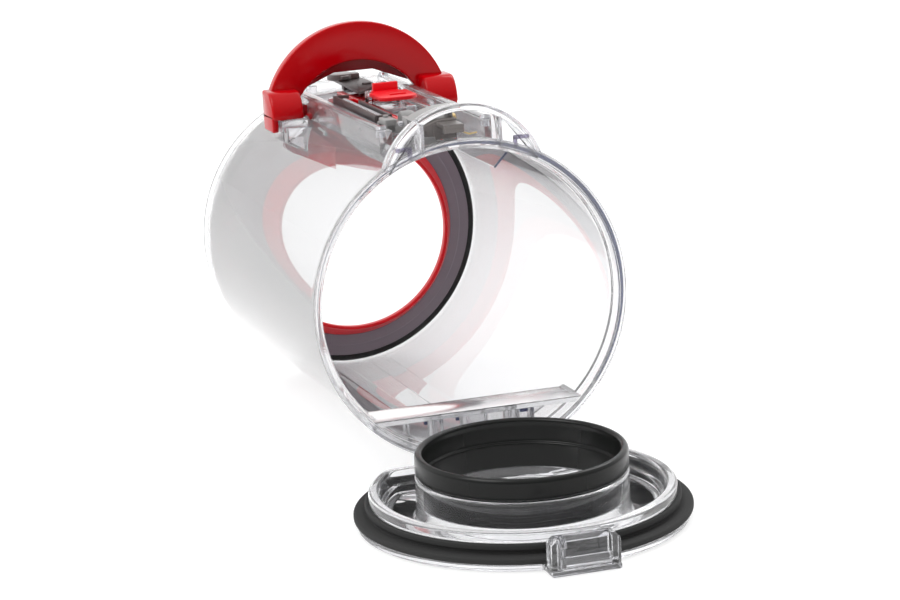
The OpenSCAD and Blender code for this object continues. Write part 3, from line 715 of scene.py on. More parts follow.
@dataclass
class BinShell(Group):
    """The clear tube with its mouth flange, counterbore, flat hinge floor and hinge lugs."""

    length: float = 186.0
    radius: float = 60.5
    wall: float = 2.2
    flange: float = 62.9
    band: float = 62.1
    mouth: float = 59.8
    mouth_depth: float = 5.5
    seal_back: float = 179.6
    floor_top: float = -42.7
    floor_low: float = -44.9
    bay: float = 20.0
    rooted: float = 60.15
    lug_top: float = -44.0
    lug_front: float = 4.2
    lug_rear: float = 12.2
    line_radius: float = 61.3
    line_depth: float = 1.5
    line_width: float = 0.12
    line_growth: float = 1.5
    line_widest: float = 42.0

    def tube(self) -> Surface:
        """The tube's wall: its section turned about the bin's axis."""
        inner = self.radius - self.wall
        section = softened([(self.mouth, 0), (self.flange, 0), (self.flange, 2.6), (self.band, 2.9),
                            (self.band, 8.0), (self.radius, 9.2), (self.radius, self.length - 1.3),
                            (self.radius - 1.3, self.length), (inner - 2.2, self.length),
                            (inner - 2.2, self.seal_back), (inner, self.seal_back),
                            (inner, self.mouth_depth), (self.mouth, self.mouth_depth)], 0.55)
        return turned(section, Axis.ALONG)

    def half_width(self, height: float) -> float:
        """Half the bin's width at a height, as far as the pieces in it are rooted."""
        return math.sqrt(self.rooted ** 2 - height ** 2)

    def lug(self, left: float, right: float, low_right: float, low_left: float) -> Surface:
        """A hinge lug between two sides and down to two lower corners, carried along the bin."""
        outline = [(left, self.lug_top), (right, self.lug_top), (right, low_right), (left, low_left)]
        return carried(softened(outline, 0.5), self.lug_front, self.lug_rear, 0.5, Axis.ALONG)

    def hinge_bay(self) -> Surface:
        """The flat floor, the wall behind the hinge, the three lugs and the ribs, carried along the bin."""
        top, low = self.half_width(self.floor_top), self.half_width(self.floor_low)
        floor = carried(softened([(-top, self.floor_top), (top, self.floor_top), (low, self.floor_low),
                                  (-low, self.floor_low)], 0.4), 0.8, self.bay, 0.35, Axis.ALONG)
        side = math.asin(44.5 / self.rooted)
        a = np.linspace(math.pi + side, TURN - side, 48)
        arc = np.stack([self.rooted * np.cos(a), self.rooted * np.sin(a)], 1)
        back = carried(arc, self.bay - 2.2, self.bay, 0.3, Axis.ALONG)
        middle, outer = self.lug(-4.7, 4.7, -59.9, -59.9), self.lug(13.3, 17.7, -57.4, -58.6)
        ribs = blocks(*[(x, 12.0, -56.5, x + 1.2, 18.2, -44.3, 0.3) for x in (-26.0, -16.0, 15.0, 25.0)])
        return joined([floor, back, middle, outer.both_sides(), ribs])

    def mouth_shade_line(self) -> Surface:
        """Painted shade in the mouth's rim: a dark sliver inside the clear flange, standing for the shade seen
        through the rim, as wide as its width plus its growth times ((1 + cos(a - widest)) / 2) ^ 3 at each angle
        a."""
        a = np.linspace(math.radians(-38), math.radians(218), 260)
        near = np.maximum(0.0, (1 + np.cos(a - math.radians(self.line_widest))) / 2)
        wide = self.line_width + self.line_growth * near ** 3
        t = np.linspace(0, TURN, 10, endpoint=False)
        radius = self.line_radius + wide[:, None] / 2 * np.cos(t)[None, :]
        depth = np.broadcast_to(self.line_depth + 0.5 * np.sin(t)[None, :], radius.shape)
        ring = np.stack([radius * np.cos(a)[:, None], depth, radius * np.sin(a)[:, None]], -1)
        return grid(ring, False, True, True)

    def build(self) -> None:
        """Makes the bin's pieces and dresses them."""
        notch = block((4.7, -1, -70), (13.3, self.lug_rear, -53.3), 0.2)
        self.add("bin_tube_wall", self.tube(), CLEAR, "clear", "bin_tube", cuts=(notch, notch.mirrored()))
        self.add("bin_hinge_bay", self.hinge_bay(), CLEAR_SOFT, "clear", "bin_tube")
        # Painted shade: the mouth line is a dark indigo sliver in the clear flange, widest towards one side.
        self.add("bin_mouth_shade_line", self.mouth_shade_line(), PAINTED_SHADE_INDIGO, "clear")
        # Painted shade: dark indigo patches in the clear bay where the hinge lugs and a rib meet the wall behind
        # the floor.
        marks = blocks(*[(x, 17.2, -50.4, x + 4.2, 18.4, -46.6, 0.3) for x in (-17.4, -4.4, 22.0)])
        self.add("bin_hinge_painted_shade", marks, PAINTED_SHADE_INDIGO, "clear")
        tab = softened([(0.5, 60.2), (0.5, 57.5), (14.6, 49.2), (20.4, 55.0), (19.6, 57.0)], 0.5)
        # Painted shade: a dark indigo sliver along the clear tab's sloped edge.
        edge = softened([(14.3, 49.3), (14.9, 49.0), (20.6, 54.9), (20.0, 55.3)], 0.15)
        self.add("bin_deflector", carried(tab, 8.1, 9.7, 0.3, Axis.ALONG), CLEAR, "clear_frosted",
                 "deflector_tab")
        self.add("bin_deflector_edge_shade", carried(edge, 8.0, 9.8, 0.12, Axis.ALONG), PAINTED_SHADE_INDIGO, "clear_frosted")


@dataclass
class LatchHood(Group):
    """The clear arch over the latch, with the webs that close its sides and two small hooks."""

    radius: float = 33.2
    centre: float = 43.4
    thickness: float = 2.8
    depth: float = 8.0
    pocket: float = 15.0
    web_root: float = 60.2
    sector: tuple = (18.0, 162.0)

    def build(self) -> None:
        """Makes the arch from its section turned about its own centre, and the webs between arch and bin."""
        inner = self.radius - self.thickness
        section = softened([(inner, 0), (self.radius, 0), (self.radius, 3.2), (self.radius - 0.8, 3.6),
                            (self.radius - 0.8, self.depth), (inner, self.depth)], 0.5)
        start, end = (math.radians(angle) for angle in self.sector)
        arch = turned(section, Axis.ALONG, (0, self.centre), 256, (start, end))
        x = np.linspace(self.pocket, 29.4, 20)
        top = self.centre + np.sqrt((inner + 0.3) ** 2 - x ** 2)
        low = np.sqrt(self.web_root ** 2 - x ** 2)
        outline = np.concatenate([np.stack([x, top], 1), np.stack([x, low], 1)[::-1]])
        webs = carried(outline, 0.5, 1.9, 0.3, Axis.ALONG).both_sides()
        sides = block((self.pocket, 1.0, 58.2), (self.pocket + 1.2, 11.0, 70.0), 0.3).both_sides()
        self.add("hood_arch", joined([arch, webs, sides]), CLEAR_THICK, "clear", "latch_hood")
        # Painted shade: the hooks are clear, and their darker violet tint stands for the shade between hood and
        # bin.
        hooks = blocks((-26.5, 1.4, 60.2, -20.0, 2.6, 61.8, 0.3), (-21.8, 1.4, 56.8, -20.0, 2.6, 61.6, 0.3),
                       (20.6, 1.4, 57.4, 22.2, 2.6, 61.4, 0.3), (20.6, 1.4, 60.4, 27.0, 2.6, 62.0, 0.3))
        self.add("hood_hooks", hooks, PAINTED_SHADE_VIOLET, "clear_frosted")


# ---- the collar at the rear ----

@dataclass
class RearCollar(Group):
    """The red collar, the grey wiper plate and its black seal, each a section turned about the bin's axis."""

    bore: float = 40.1
    front: float = 162.4
    outer: float = 45.5
    plate: float = 55.6
    seal: float = 58.25

    def build(self) -> None:
        """Makes the three rings."""
        y, bore, outer, plate = self.front, self.bore, self.outer, self.plate
        ring = softened([(bore, y), (bore + 1.2, y - 0.5), (bore + 1.8, y + 1.4), (outer, y + 9.8),
                         (outer, y + 12.8), (43.9, y + 12.8), (bore, y + 3)], 0.5)
        self.add("collar_ring", turned(ring, Axis.ALONG), RED_BRIGHT, "red", "rear_collar")
        disc = softened([(outer, y + 9.9), (50.4, y + 12.4), (50.8, y + 12.9), (plate, y + 15.3),
                         (plate, y + 17.1), (outer, y + 12.8)], 0.3)
        self.add("collar_plate", turned(disc, Axis.ALONG), GREY_PLATE, "grey_plastic", "wiper_plate")
        lip = softened([(plate, y + 15.3), (57.3, y + 16.0), (self.seal, y + 16.8), (self.seal, y + 17.2),
                        (plate, y + 17.2)], 0.2)
        self.add("collar_seal", turned(lip, Axis.ALONG), RUBBER, "black_rubber", "wiper_seal")


# ---- the runner on top ----

@dataclass
class Runner(Group):
    """The clear rails, ribs, button carrier and guides on top of the bin."""

    outer: float = 24.0
    width: float = 5.5
    top: float = 64.1
    front: float = 31.0
    end: float = 180.0
    rooted: float = 60.3
    rib_right: float = 13.0
    box_side: float = 7.3
    box_front: float = 81.4
    box_rear: float = 110.4
    box_top: float = 64.4
    guide_in: float = 26.0
    guide_out: float = 36.9

    def rails(self) -> Surface:
        """The outer rails, the inner rib and the cross ribs; the rails' feet follow the bin's wall."""
        inner, tie = self.outer - self.width, self.outer - self.width + 0.5
        foot = [(x, math.sqrt(self.rooted ** 2 - x ** 2)) for x in (self.outer, inner)]
        outline = softened([(inner, self.top), (self.outer, self.top), foot[0], foot[1]], 0.5)
        rail = carried(outline, self.front, self.end, 0.5, Axis.ALONG).both_sides()
        groove = block((19.6, self.front + 3, self.top - 0.2), (22.9, self.end - 3, self.top + 0.35), 0.15)
        ribs = blocks((9.6, 54, 59.2, self.rib_right, self.end, self.top, 0.4),
                      *[(-tie, y, 60.0, self.rib_right, y + 4, 61.4, 0.3) for y in (60.0, self.box_rear)],
                      (-tie, 145.0, 59.9, tie, 151.0, 63.3, 0.4),
                      (-tie, 174.0, 59.9, tie, self.end, self.top, 0.4))
        bosses = [round_bar(2.3, 60.0, self.top + 0.3, place, Axis.UP, 0.3) for place in
                  ((-15.0, 126.0), (14.6, 158.0), (-13.6, 166.0), (6.4, 62.0))]
        return joined([rail, groove.both_sides(), ribs, *bosses])

    def carrier(self) -> Surface:
        """The open box that carries the button, its two ears and a small stop."""
        side, front, rear, top = self.box_side, self.box_front, self.box_rear, self.box_top
        walls = blocks((-side, front, 60.2, -5.7, rear, top, 0.3), (5.7, front, 60.2, side, rear, top, 0.3),
                       (-side, front, 61.0, side, 83.0, top, 0.3), (-side, 108.8, 61.0, side, rear, top, 0.3),
                       (-6.5, 82.0, 60.9, 6.5, 110.0, 62.0, 0.2))
        ears = joined([round_bar(2.6, 5.7, side, (104.4, 66.6), Axis.ACROSS),
                       block((5.7, 102.2, 62), (side, 106.6, 66.6), 0.3)])
        stop = round_bar(2.0, 61.0, 65.6, (3.6, 78.2), Axis.UP, 0.4)
        return joined([walls, ears.both_sides(), stop])

    def guides(self) -> Surface:
        """The guides under the thumb grips, with their sloping front ends."""
        main = softened([(self.guide_in, 56.3), (self.guide_out, 56.3), (self.guide_out, 47.7),
                         (self.guide_in, 54.3)], 0.4)
        nose = softened([(26.4, 54.6), (36.5, 54.6), (36.6, 48.2), (26.4, 54.2)], 0.3)
        return joined([carried(main, 129.0, 149.4, 0.4, Axis.ALONG).both_sides(),
                       carried(nose, 122.0, 130.0, 0.4, Axis.ALONG).both_sides()])

    def build(self) -> None:
        """Makes the clear pieces of the runner."""
        self.add("runner_clear_rails", self.rails(), HAZY, "clear_frosted", "runner_rails")
        self.add("runner_carrier", self.carrier(), HAZY, "clear_frosted", "button_carrier")
        self.add("runner_guides", self.guides(), CLEAR_THICK, "clear", "lever_guides")


@dataclass
class RunnerWorks(Group):
    """The dark channel, the return springs, the rear bracket and its boss."""

    left: float = -17.6
    right: float = -10.9
    front: float = 56.0
    rear: float = 118.4
    low: float = 61.4
    high: float = 66.4
    wall: float = 1.2
    boss_at: tuple = (-2.6, 160.4)
    plate_top: float = 66.7

    def trough(self) -> Surface:
        """The dark channel: its floor, its sides, the low side by the rod's finger and its two ends."""
        left, right, front, rear, low, high = (self.left, self.right, self.front, self.rear, self.low,
                                               self.high)
        return blocks((left, front, low, right, rear, low + 1.0, 0.25),
                      (left, front, low, left + self.wall, rear, high, 0.25),
                      (right - self.wall, front, low, right, rear - 18.0, high, 0.25),
                      (right - self.wall, front, low, right, rear, 62.5, 0.25),
                      (left, front, low, right, front + 2.0, high, 0.25),
                      (left, rear - self.wall, low, right, rear, high, 0.25))

    def build(self) -> None:
        """Makes the fixed works of the runner."""
        self.add("runner_trough", self.trough(), DARK_METAL, "dark_metal", "runner_channel")
        middle = ((self.left + self.right) / 2, 64.2)
        spring = coil(1.45, self.front + 2.1, self.rear - 4.5, middle, 26.0, 0.24, Axis.ALONG)
        self.add("lever_return_spring", spring, STEEL, "steel", "lever_spring")
        press = coil(1.5, 62.1, 67.4, (0, 86.4), 5.0, 0.25, Axis.UP)
        self.add("button_return_spring", press, STEEL, "steel", "button_spring")
        shape = softened([(-5.6, 121.4), (-4.0, 168.4), (6.0, 168.4), (7.0, 149.4), (6.5, 134.4)], 0.9)
        bracket = joined([carried(shape, 65.3, self.plate_top, 0.3, Axis.UP),
                          block((-4, 149.6, 63.3), (6, 153.4, 65.6), 0.3),
                          round_bar(1.9, 66.4, 67.3, (3.2, 140.0), Axis.UP, 0.2)])
        self.add("runner_bracket", bracket, DARK_METAL, "dark_metal", "rear_bracket")
        boss = joined([round_bar(5.3, self.plate_top, 69.3, self.boss_at, Axis.UP, 0.4, 64),
                       round_bar(3.9, 69.0, 69.4, self.boss_at, Axis.UP, 0.15, 48),
                       block((0.4, 157.4, self.plate_top), (5.4, 163.4, 69.0), 0.4)])
        slot = block((-3.6, 153.0, 67.4), (-0.2, 158.4, 68.8), 0.2)
        self.add("runner_boss", boss, GREY, "grey_plastic", "rear_boss", cuts=(slot,))


# ---- the latch ----

@dataclass
class Latch(Group):
    """The latch lever, its bracket under the hood and its torsion spring."""

    left: float = -13.0
    right: float = 1.6
    pin: tuple = (27.0, 67.0)
    hood_centre: float = 43.4
    block_reach: float = 26.4
    block_top: float = 69.3
    band_in: float = 28.5
    band_out: float = 30.1

    def lever(self) -> Surface:
        """The lever: a body whose top follows the hood's arc, raised panels, its bar and its tail."""
        left, right = self.left, self.right
        x = np.linspace(left, right, 16)
        top = np.minimum(self.block_top, self.hood_centre + np.sqrt(self.block_reach ** 2 - x ** 2))
        under = [[right, 61.7], [-4.6, 61.7], [-4.9, 62.7], [left, 63.3]]
        body = carried(np.concatenate([np.stack([x, top], 1), under]), 12.0, 23.0, 0.45, Axis.ALONG)
        panels = blocks((-8.2, 11.7, 63.0, -2.6, 12.4, 67.8, 0.2), (-7.2, 11.5, 61.9, -4.9, 12.4, 64.2, 0.2),
                        (-1.8, 11.8, 65.6, 1.2, 12.3, 67.0, 0.2))
        stud = round_bar(0.95, 11.3, 12.6, (-11.4, 65.0), Axis.ALONG, 0.25)
        bar = block((left, 22.0, 63.0), (right, 27.0, 66.0), 0.35)
        knuckle = round_bar(2.2, left, right, self.pin, Axis.ACROSS, 0.3)
        ends = blocks((-6.4, 2.2, 66.9, right, 13.0, 68.5, 0.3), (-6.4, 2.2, 65.2, right, 4.9, 67.1, 0.3),
                      (-2.4, 26.0, 61.4, right, 29.0, 66.8, 0.3))
        return joined([body, panels, stud, bar, knuckle, ends])

    def bracket(self) -> Surface:
        """The curved band under the hood and the two legs that stand on the bin."""
        section = softened([(self.band_in, 14.0), (self.band_out, 14.0), (self.band_out, 24.5),
                            (self.band_in, 24.5)], 0.35)
        ends = (math.acos(3.4 / 29.3), math.acos(-14.8 / 29.3))
        band = turned(section, Axis.ALONG, (0, self.hood_centre), 256, ends)
        legs = blocks((-15.0, 22.5, 58.4, -13.3, 29.0, 69.6, 0.3), (1.9, 22.5, 60.3, 3.6, 29.0, 73.0, 0.3))
        return joined([band, legs])

    def spring(self) -> Surface:
        """The torsion spring: its turns round the pin and the wire that runs to the front and rises."""
        turns = coil(1.7, 3.9, 5.5, self.pin, 2.5, 0.32, Axis.ACROSS)
        t = np.linspace(0, 1, 30)
        wire = np.stack([4.7 + 4.6 * np.clip(t - 0.6, 0, 1) / 0.4 * t, 27.0 - 15.6 * np.minimum(t / 0.7, 1.0),
                         65.3 - 3.2 * t + 1.0 * np.clip(t - 0.8, 0, 1) / 0.2], 1)
        return joined([turns, drawn(wire, 0.32)])

    def build(self) -> None:
        """Makes the lever, the bracket and the spring."""
        self.add("latch_block", self.lever(), BROWN_GREY, "grey_plastic", "latch_lever", body="latch")
        self.add("latch_band", self.bracket(), GREY, "grey_plastic", "latch_bracket")
        self.add("latch_torsion_spring", self.spring(), BRASS, "brass_wire", "latch_spring")


# ---- the release lever ----

@dataclass
class ReleaseLever(Group):
    """The red arch with its thumb grips, lining, crosspiece, push rod and slide block."""

    body: ClassVar[str] = "lever"

    front: float = 142.4
    thickness: float = 5.0
    radius: float = 39.9
    centre: float = 52.7
    inner_radius: float = 30.0
    inner_centre: float = 46.6
    foot: float = 58.3
    grip_in: float = 26.6
    grip_out: float = 40.0
    grip_centre: tuple = (143.5, 57.4)
    grip_barrel: float = 12.2
    grip_rear: float = 3.9
    grip_top: float = 10.2
    grip_low: float = 0.85
    grip_power: float = 26.0
    cross_in: float = 61.05
    cross_out: float = 62.95
    rod_left: float = -10.4
    rod_low: float = 62.9
    rod_top: float = 65.0
    slide_left: float = -18.2
    slide_front: float = 41.6
    slide_low: float = 61.0

    def crescent(self, radius: float, inner: np.ndarray, start: float, end: float, bevel: float) -> Surface:
        """An arch: a rounded rectangle carried between an outer arc and an inner line. At each step
        its corners are inner + (outer - inner) u along the join and start to end along the bin.

        Args:
            radius: outer radius about the arch's centre.
            inner: points x 2 of the inner line, from right to left.
            start: its front face.
            end: its rear face.
            bevel: radius of its edges.

        Returns:
            A closed surface.
        """
        low = math.asin((self.foot - self.centre) / radius)
        a = np.linspace(low, math.pi - low, len(inner))
        outer = np.stack([radius * np.cos(a), self.centre + radius * np.sin(a)], 1)
        span = outer - inner
        width = np.linalg.norm(span, axis=1)[:, None]
        ring = softened([(0, 0), (1, 0), (1, 1), (0, 1)], 0.45, 6)
        side, sink = np.where(ring > 0.5, 1.0, 0.0), np.where(ring > 0.5, ring - 1.0, ring) / 0.45
        along = side[:, 0] * width + sink[:, 0] * bevel
        place = inner[:, None] + (span / width)[:, None] * along[..., None]
        depth = start + side[:, 1] * (end - start) + sink[:, 1] * bevel
        depth = np.broadcast_to(depth, along.shape)
        return grid(np.stack([place[..., 0], depth, place[..., 1]], -1), False, True, True)

    def arch(self) -> Surface:
        """The red arch between its outer and inner circles."""
        radius, centre = self.inner_radius, self.inner_centre
        low = math.asin((self.foot - centre) / radius)
        a = np.linspace(low, math.pi - low, 160)
        inner = np.stack([radius * np.cos(a), centre + radius * np.sin(a)], 1)
        return self.crescent(self.radius, inner, self.front, self.front + self.thickness, 0.8)

    def lining(self) -> Surface:
        """The darker lining behind the arch, with a flat-topped opening."""
        f = np.linspace(0, 1, 161)
        marks = [0, 0.1, 0.36, 0.64, 0.9, 1]
        inner = np.stack([np.interp(f, marks, [28.5, 28.5, 8.4, -8.4, -28.5, -28.5]),
                          np.interp(f, marks, [self.foot, 63.5, 71.6, 71.6, 63.5, self.foot])], 1)
        start = self.front + self.thickness
        return self.crescent(self.radius - 1.6, inner, start, start + 4.0, 0.5)

    def grip_outline(self) -> np.ndarray:
        """The thumb grip's side outline: a barrel cut flat behind, above and below, as the soft least
        (sum of d^-p)^(-1/p) of the distances d to those faces.

        Returns:
            Points x 2.
        """
        a = np.linspace(0, TURN, 96, endpoint=False)
        c, s = np.cos(a), np.sin(a)
        away = np.stack([np.full_like(a, self.grip_barrel), self.grip_rear / np.maximum(c, 0.01),
                         self.grip_top / np.maximum(s, 0.01), self.grip_low / np.maximum(-s, 0.01)])
        r = np.sum(away ** -self.grip_power, 0) ** (-1 / self.grip_power)
        return np.stack([self.grip_centre[0] + r * c, self.grip_centre[1] + r * s], 1)

    def grips(self) -> Surface:
        """Both thumb grips with their skirts outside the guides."""
        main = carried(self.grip_outline(), self.grip_in, self.grip_out, 1.1, Axis.ACROSS)
        skirt = softened([(132.6, 51.2), (147.2, 51.2), (147.2, 58.0), (132.6, 58.0)], 1.6)
        return joined([main, carried(skirt, 37.4, self.grip_out, 0.7, Axis.ACROSS)]).both_sides()

    def works(self) -> Surface:
        """The crosspiece that follows the bin's wall, and its tabs."""
        section = softened([(self.cross_in, 129.4), (self.cross_out, 129.4), (self.cross_out, 141.4),
                            (self.cross_in, 141.4)], 0.4)
        half = math.acos(25.2 / 62.0)
        cross = turned(section, Axis.ALONG, (0, 0), 256, (half, math.pi - half))
        tabs = block((24.3, 134.4, 56.7), (27.4, 140.4, 61.4), 0.3).both_sides()
        return joined([cross, tabs])

    def rod(self) -> Surface:
        """The push rod, its foot on the crosspiece and the finger in the channel."""
        return blocks((self.rod_left, 45.0, self.rod_low, -7.8, 138.4, self.rod_top, 0.35),
                      (self.rod_left, 131.4, 61.6, -7.8, 134.4, 63.4, 0.3),
                      (-15.8, 114.0, self.rod_low, -9.1, 116.8, self.rod_top, 0.3))

    def slide(self) -> Surface:
        """The grey slide block with its round boss, cheek and prong."""
        left, front, low = self.slide_left, self.slide_front, self.slide_low
        return joined([block((left, front, low), (-5.6, 53.0, 64.9), 0.5),
                       round_bar(4.4, -10.6, -5.6, (46.0, 64.4), Axis.ACROSS, 0.5, 48),
                       round_bar(2.2, -6.2, -5.2, (46.0, 65.0), Axis.ACROSS, 0.3),
                       block((left, front, low), (-13.2, 51.0, 66.6), 0.6),
                       block((-6.6, 39.3, low), (3.0, 47.0, 63.4), 0.35),
                       round_bar(1.1, 61.2, 67.4, (-15.7, 49.0), Axis.UP, 0.25)])

    def build(self) -> None:
        """Makes everything that moves with the lever."""
        self.add("lever_arch", self.arch(), RED, "red", "release_lever")
        self.add("lever_grips", self.grips(), RED, "red", "release_lever")
        self.add("lever_arch_lining", self.lining(), RED_DEEP, "dark_red", "lever_lining")
        self.add("lever_cross", self.works(), RED_DEEP, "red", "lever_crosspiece")
        self.add("lever_push_rod", self.rod(), RED, "red", "push_rod")
        self.add("lever_slide_block", self.slide(), GREY, "grey_plastic", "slide_block")


@dataclass
class ReleaseButton(Group):
    """The small red button: a flat tab with a rib, an upright tab and the pivot bar."""

    body: ClassVar[str] = "button"

    pivot_y: float = 104.4
    pivot_z: float = 66.6
    bar: float = 5.4

    def build(self) -> None:
        """Makes the button."""
        y, z = self.pivot_y, self.pivot_z
        outline = [(-8, y - 22), (-5, y - 24), (5, y - 24), (8, y - 21), (8, y - 6), (-8, y - 6)]
        tab = carried(softened(outline, 1.2), z + 1, z + 2.6, 0.35, Axis.UP)
        root = block((-self.bar, y - 6.5, z - 1), (self.bar, y, z + 2.6), 0.4)
        pivot = round_bar(2.2, -self.bar, self.bar, (y, z), Axis.ACROSS, 0.3)
        ribs = blocks((-5, y - 3, z + 2, 5.5, y - 0.6, z + 5.6, 0.35),
                      (-2.6, y - 18, z + 2.2, 4.4, y - 16.4, z + 3.2, 0.3))
        self.add("button_tab", joined([tab, root, pivot, ribs]), RED_BRIGHT, "red", "release_button")


# ---- the lid ----

@dataclass
class Lid(Group):
    """The D-shaped lid: clear tray, centre ring, clip, black seal and gasket ring."""

    body: ClassVar[str] = "lid"
    place: ClassVar[Place] = ON_LID

    plate: float = 62.5
    plate_flat: float = 46.0
    rim: float = 57.85
    rim_flat: float = 40.4
    core: float = 40.2
    clip: float = 64.2
    clip_wide: float = 13.2
    clip_in: float = 10.2
    pin: float = 13.7
    arm_in: float = 5.0
    arm_out: float = 13.0
    rib_depth: float = 0.14
    rib_step: float = 2.3

    def tray(self) -> Surface:
        """The clear tray: a section carried round the D, kept outside the centre ring."""
        rim, rim_flat, plate, plate_flat = self.rim, self.rim_flat, self.plate, self.plate_flat
        inwards = rim_flat - rim
        ridge = [(x, z, x + inwards) for x, z in ((56.9, 13.0), (54.6, 13.0), (53.7, 12.2), (53.0, 8.2),
                                                  (51.4, 7.4), (50.8, 5.0), (49.4, 4.5))]
        section = softened_tray([(self.core, 0, 60), (plate, 0, plate_flat), (plate, 2.4, plate_flat),
                                 (rim, 2.5, rim_flat), (rim, 12.3, rim_flat), *ridge,
                                 (48.6, 2.6, 60), (self.core, 2.6, 60)], 0.5)
        a = np.linspace(0, TURN, 384, endpoint=False)[:, None]
        r = np.maximum(tray_radius(a, section[None, :, 0], section[None, :, 1]), self.core - 0.05)
        height = np.broadcast_to(section[None, :, 2], r.shape)
        return grid(np.stack([r * np.cos(a), r * np.sin(a), height], -1), True, True)

    def arms(self) -> Surface:
        """The two hinge arms with their knuckles and tongues, and the ledge under the clip."""
        inside, outside = self.arm_in, self.arm_out
        outline = softened([(53.8, 0.05), (60.2, 0.05), (60.2, 12.0), (58.6, 15.4), (55.4, 15.4),
                            (53.8, 12.0)], 0.9)
        leg = carried(outline, inside, outside, 0.4, Axis.ACROSS)
        knuckle = round_bar(3.4, inside, outside, (57.0, self.pin), Axis.ACROSS, 0.4, 48)
        tongue = block((inside, 44.0, 0.05), (outside, 58.0, 2.4), 0.3)
        ledge = block((-self.clip_wide, -self.clip - 6.9, 0.05), (self.clip_wide, -58.0, 2.3), 0.4)
        return joined([joined([leg, knuckle, tongue]).both_sides(), ledge])

    def clip_parts(self) -> Surface:
        """The clip: two chamfered cheeks, a panel between them, a bar, a ledge, a post and its hook."""
        front, back, wide, inner = -self.clip - 6.1, -self.clip, self.clip_wide, self.clip_in
        side = softened([(9.8, 2.3), (wide, 2.3), (wide, 11.8), (11.1, 13.9), (9.8, 13.9)], 0.5)
        cheeks = carried(side, front, back, 0.4, Axis.ALONG).both_sides()
        face = softened([(-inner, 2.4), (inner, 2.4), (inner, 13.8), (-inner, 13.8)], 0.3)
        panel = carried(face, back - 0.85, back, 0.3, Axis.ALONG)
        rest = blocks((-inner, back - 2.0, 11.1, inner, back - 0.3, 13.8, 0.3),
                      (-9.9, front + 0.1, 2.3, 9.9, front + 1.4, 6.9, 0.35),
                      (-9.3, front + 0.6, 2.3, -7.6, back - 0.6, 13.7, 0.3),
                      (-7.9, back - 4.4, 9.4, -6.7, back - 0.5, 11.4, 0.25),
                      (-7.9, back - 3.2, 11.0, -6.7, back - 0.5, 13.2, 0.25))
        return joined([cheeks, panel, rest])

    def seal(self) -> Surface:
        """The black seal: its lip, the groove above the lip and the upper band, carried round the D."""
        section = softened_tray([(self.rim, 2.45, self.rim_flat), (62.7, 2.45, 43.8), (63.75, 3.1, 44.45),
                                 (63.75, 4.6, 44.45), (63.1, 5.1, 44.0), (60.2, 5.3, 42.0),
                                 (58.6, 5.2, 40.9), (58.6, 6.4, 40.9), (59.4, 7.0, 41.15),
                                 (59.4, 8.7, 41.15), (58.9, 9.2, 40.9), (self.rim, 9.2, self.rim_flat)], 0.35)
        return tray_wall(section)

    def gasket_ribs(self, angle: np.ndarray, radius: np.ndarray, height: np.ndarray) -> np.ndarray:
        """Shallow waves round the gasket's outside, a step apart in height and swaying with the angle.

        Args:
            angle: angle of each point.
            radius: its radius.
            height: its height.

        Returns:
            What is added to each radius.
        """
        low = (radius > 38.3) & (height < 18.0) & (height > 8.6)
        wave = np.sin(TURN * height / self.rib_step + 0.6 * np.sin(9 * angle))
        return np.where(low, -self.rib_depth - self.rib_depth * wave, 0.0)

    def gasket(self) -> Surface:
        """The tall black gasket ring, whose outside is waved below the top of the clear ring."""
        corners = softened([(36.4, 8.05), (38.6, 8.05), (38.6, 18.4), (40.1, 19.3), (40.1, 26.0),
                            (39.2, 27.2), (37.8, 27.2), (36.9, 26.2), (37.5, 24.6), (37.5, 18.0),
                            (36.4, 17.7)], 0.7, 6)
        gaps = np.linalg.norm(np.roll(corners, -1, 0) - corners, axis=1)
        far = np.concatenate([[0], np.cumsum(gaps)])
        closed = np.vstack([corners, corners[:1]])
        s = np.linspace(0, far[-1], 150, endpoint=False)
        section = np.stack([np.interp(s, far, closed[:, 0]), np.interp(s, far, closed[:, 1])], 1)
        return turned(section, Axis.UP, (0, 0), 256, (0.0, TURN), self.gasket_ribs)

    def build(self) -> None:
        """Makes the lid's pieces and dresses them."""
        self.add("lid_tray", self.tray(), CLEAR_THICK, "clear", "lid_base")
        self.add("lid_hinge_arms", self.arms(), CLEAR_THICK, "clear", "lid_base")
        ring = softened([(37.0, 0.05), (41.6, 2.0), (40.5, 3.4), (self.core, 4.6), (self.core, 17.5),
                         (39.7, 18.2), (38.75, 18.2), (38.75, 8.0), (37.0, 8.0)], 0.4)
        self.add("lid_centre_ring", turned(ring, Axis.UP), CLEAR_THICK, "clear", "lid_core")
        self.add("lid_clip_frame", self.clip_parts(), CLEAR_THICK, "clear", "lid_clip")
        self.add("lid_rim_seal", self.seal(), RUBBER, "black_rubber", "lid_seal")
        self.add("lid_gasket", self.gasket(), GASKET, "black_rubber", "gasket_ring")


# ---- the rest of the frame, the studio and the camera ----

def dress_frame() -> None:
    """Gives each node of the frame that is still shown the finish of its slot."""
    for entry in frame["record"]["subparts"]:
        node = frame["nodes"][entry["node"]]
        finish = SLOT_FINISH[entry["material_slot"]].material()
        for slot in node.material_slots:
            slot.material = finish
        if not node.hide_render:
            LOG.info("%s: the frame's own node", entry["node"])


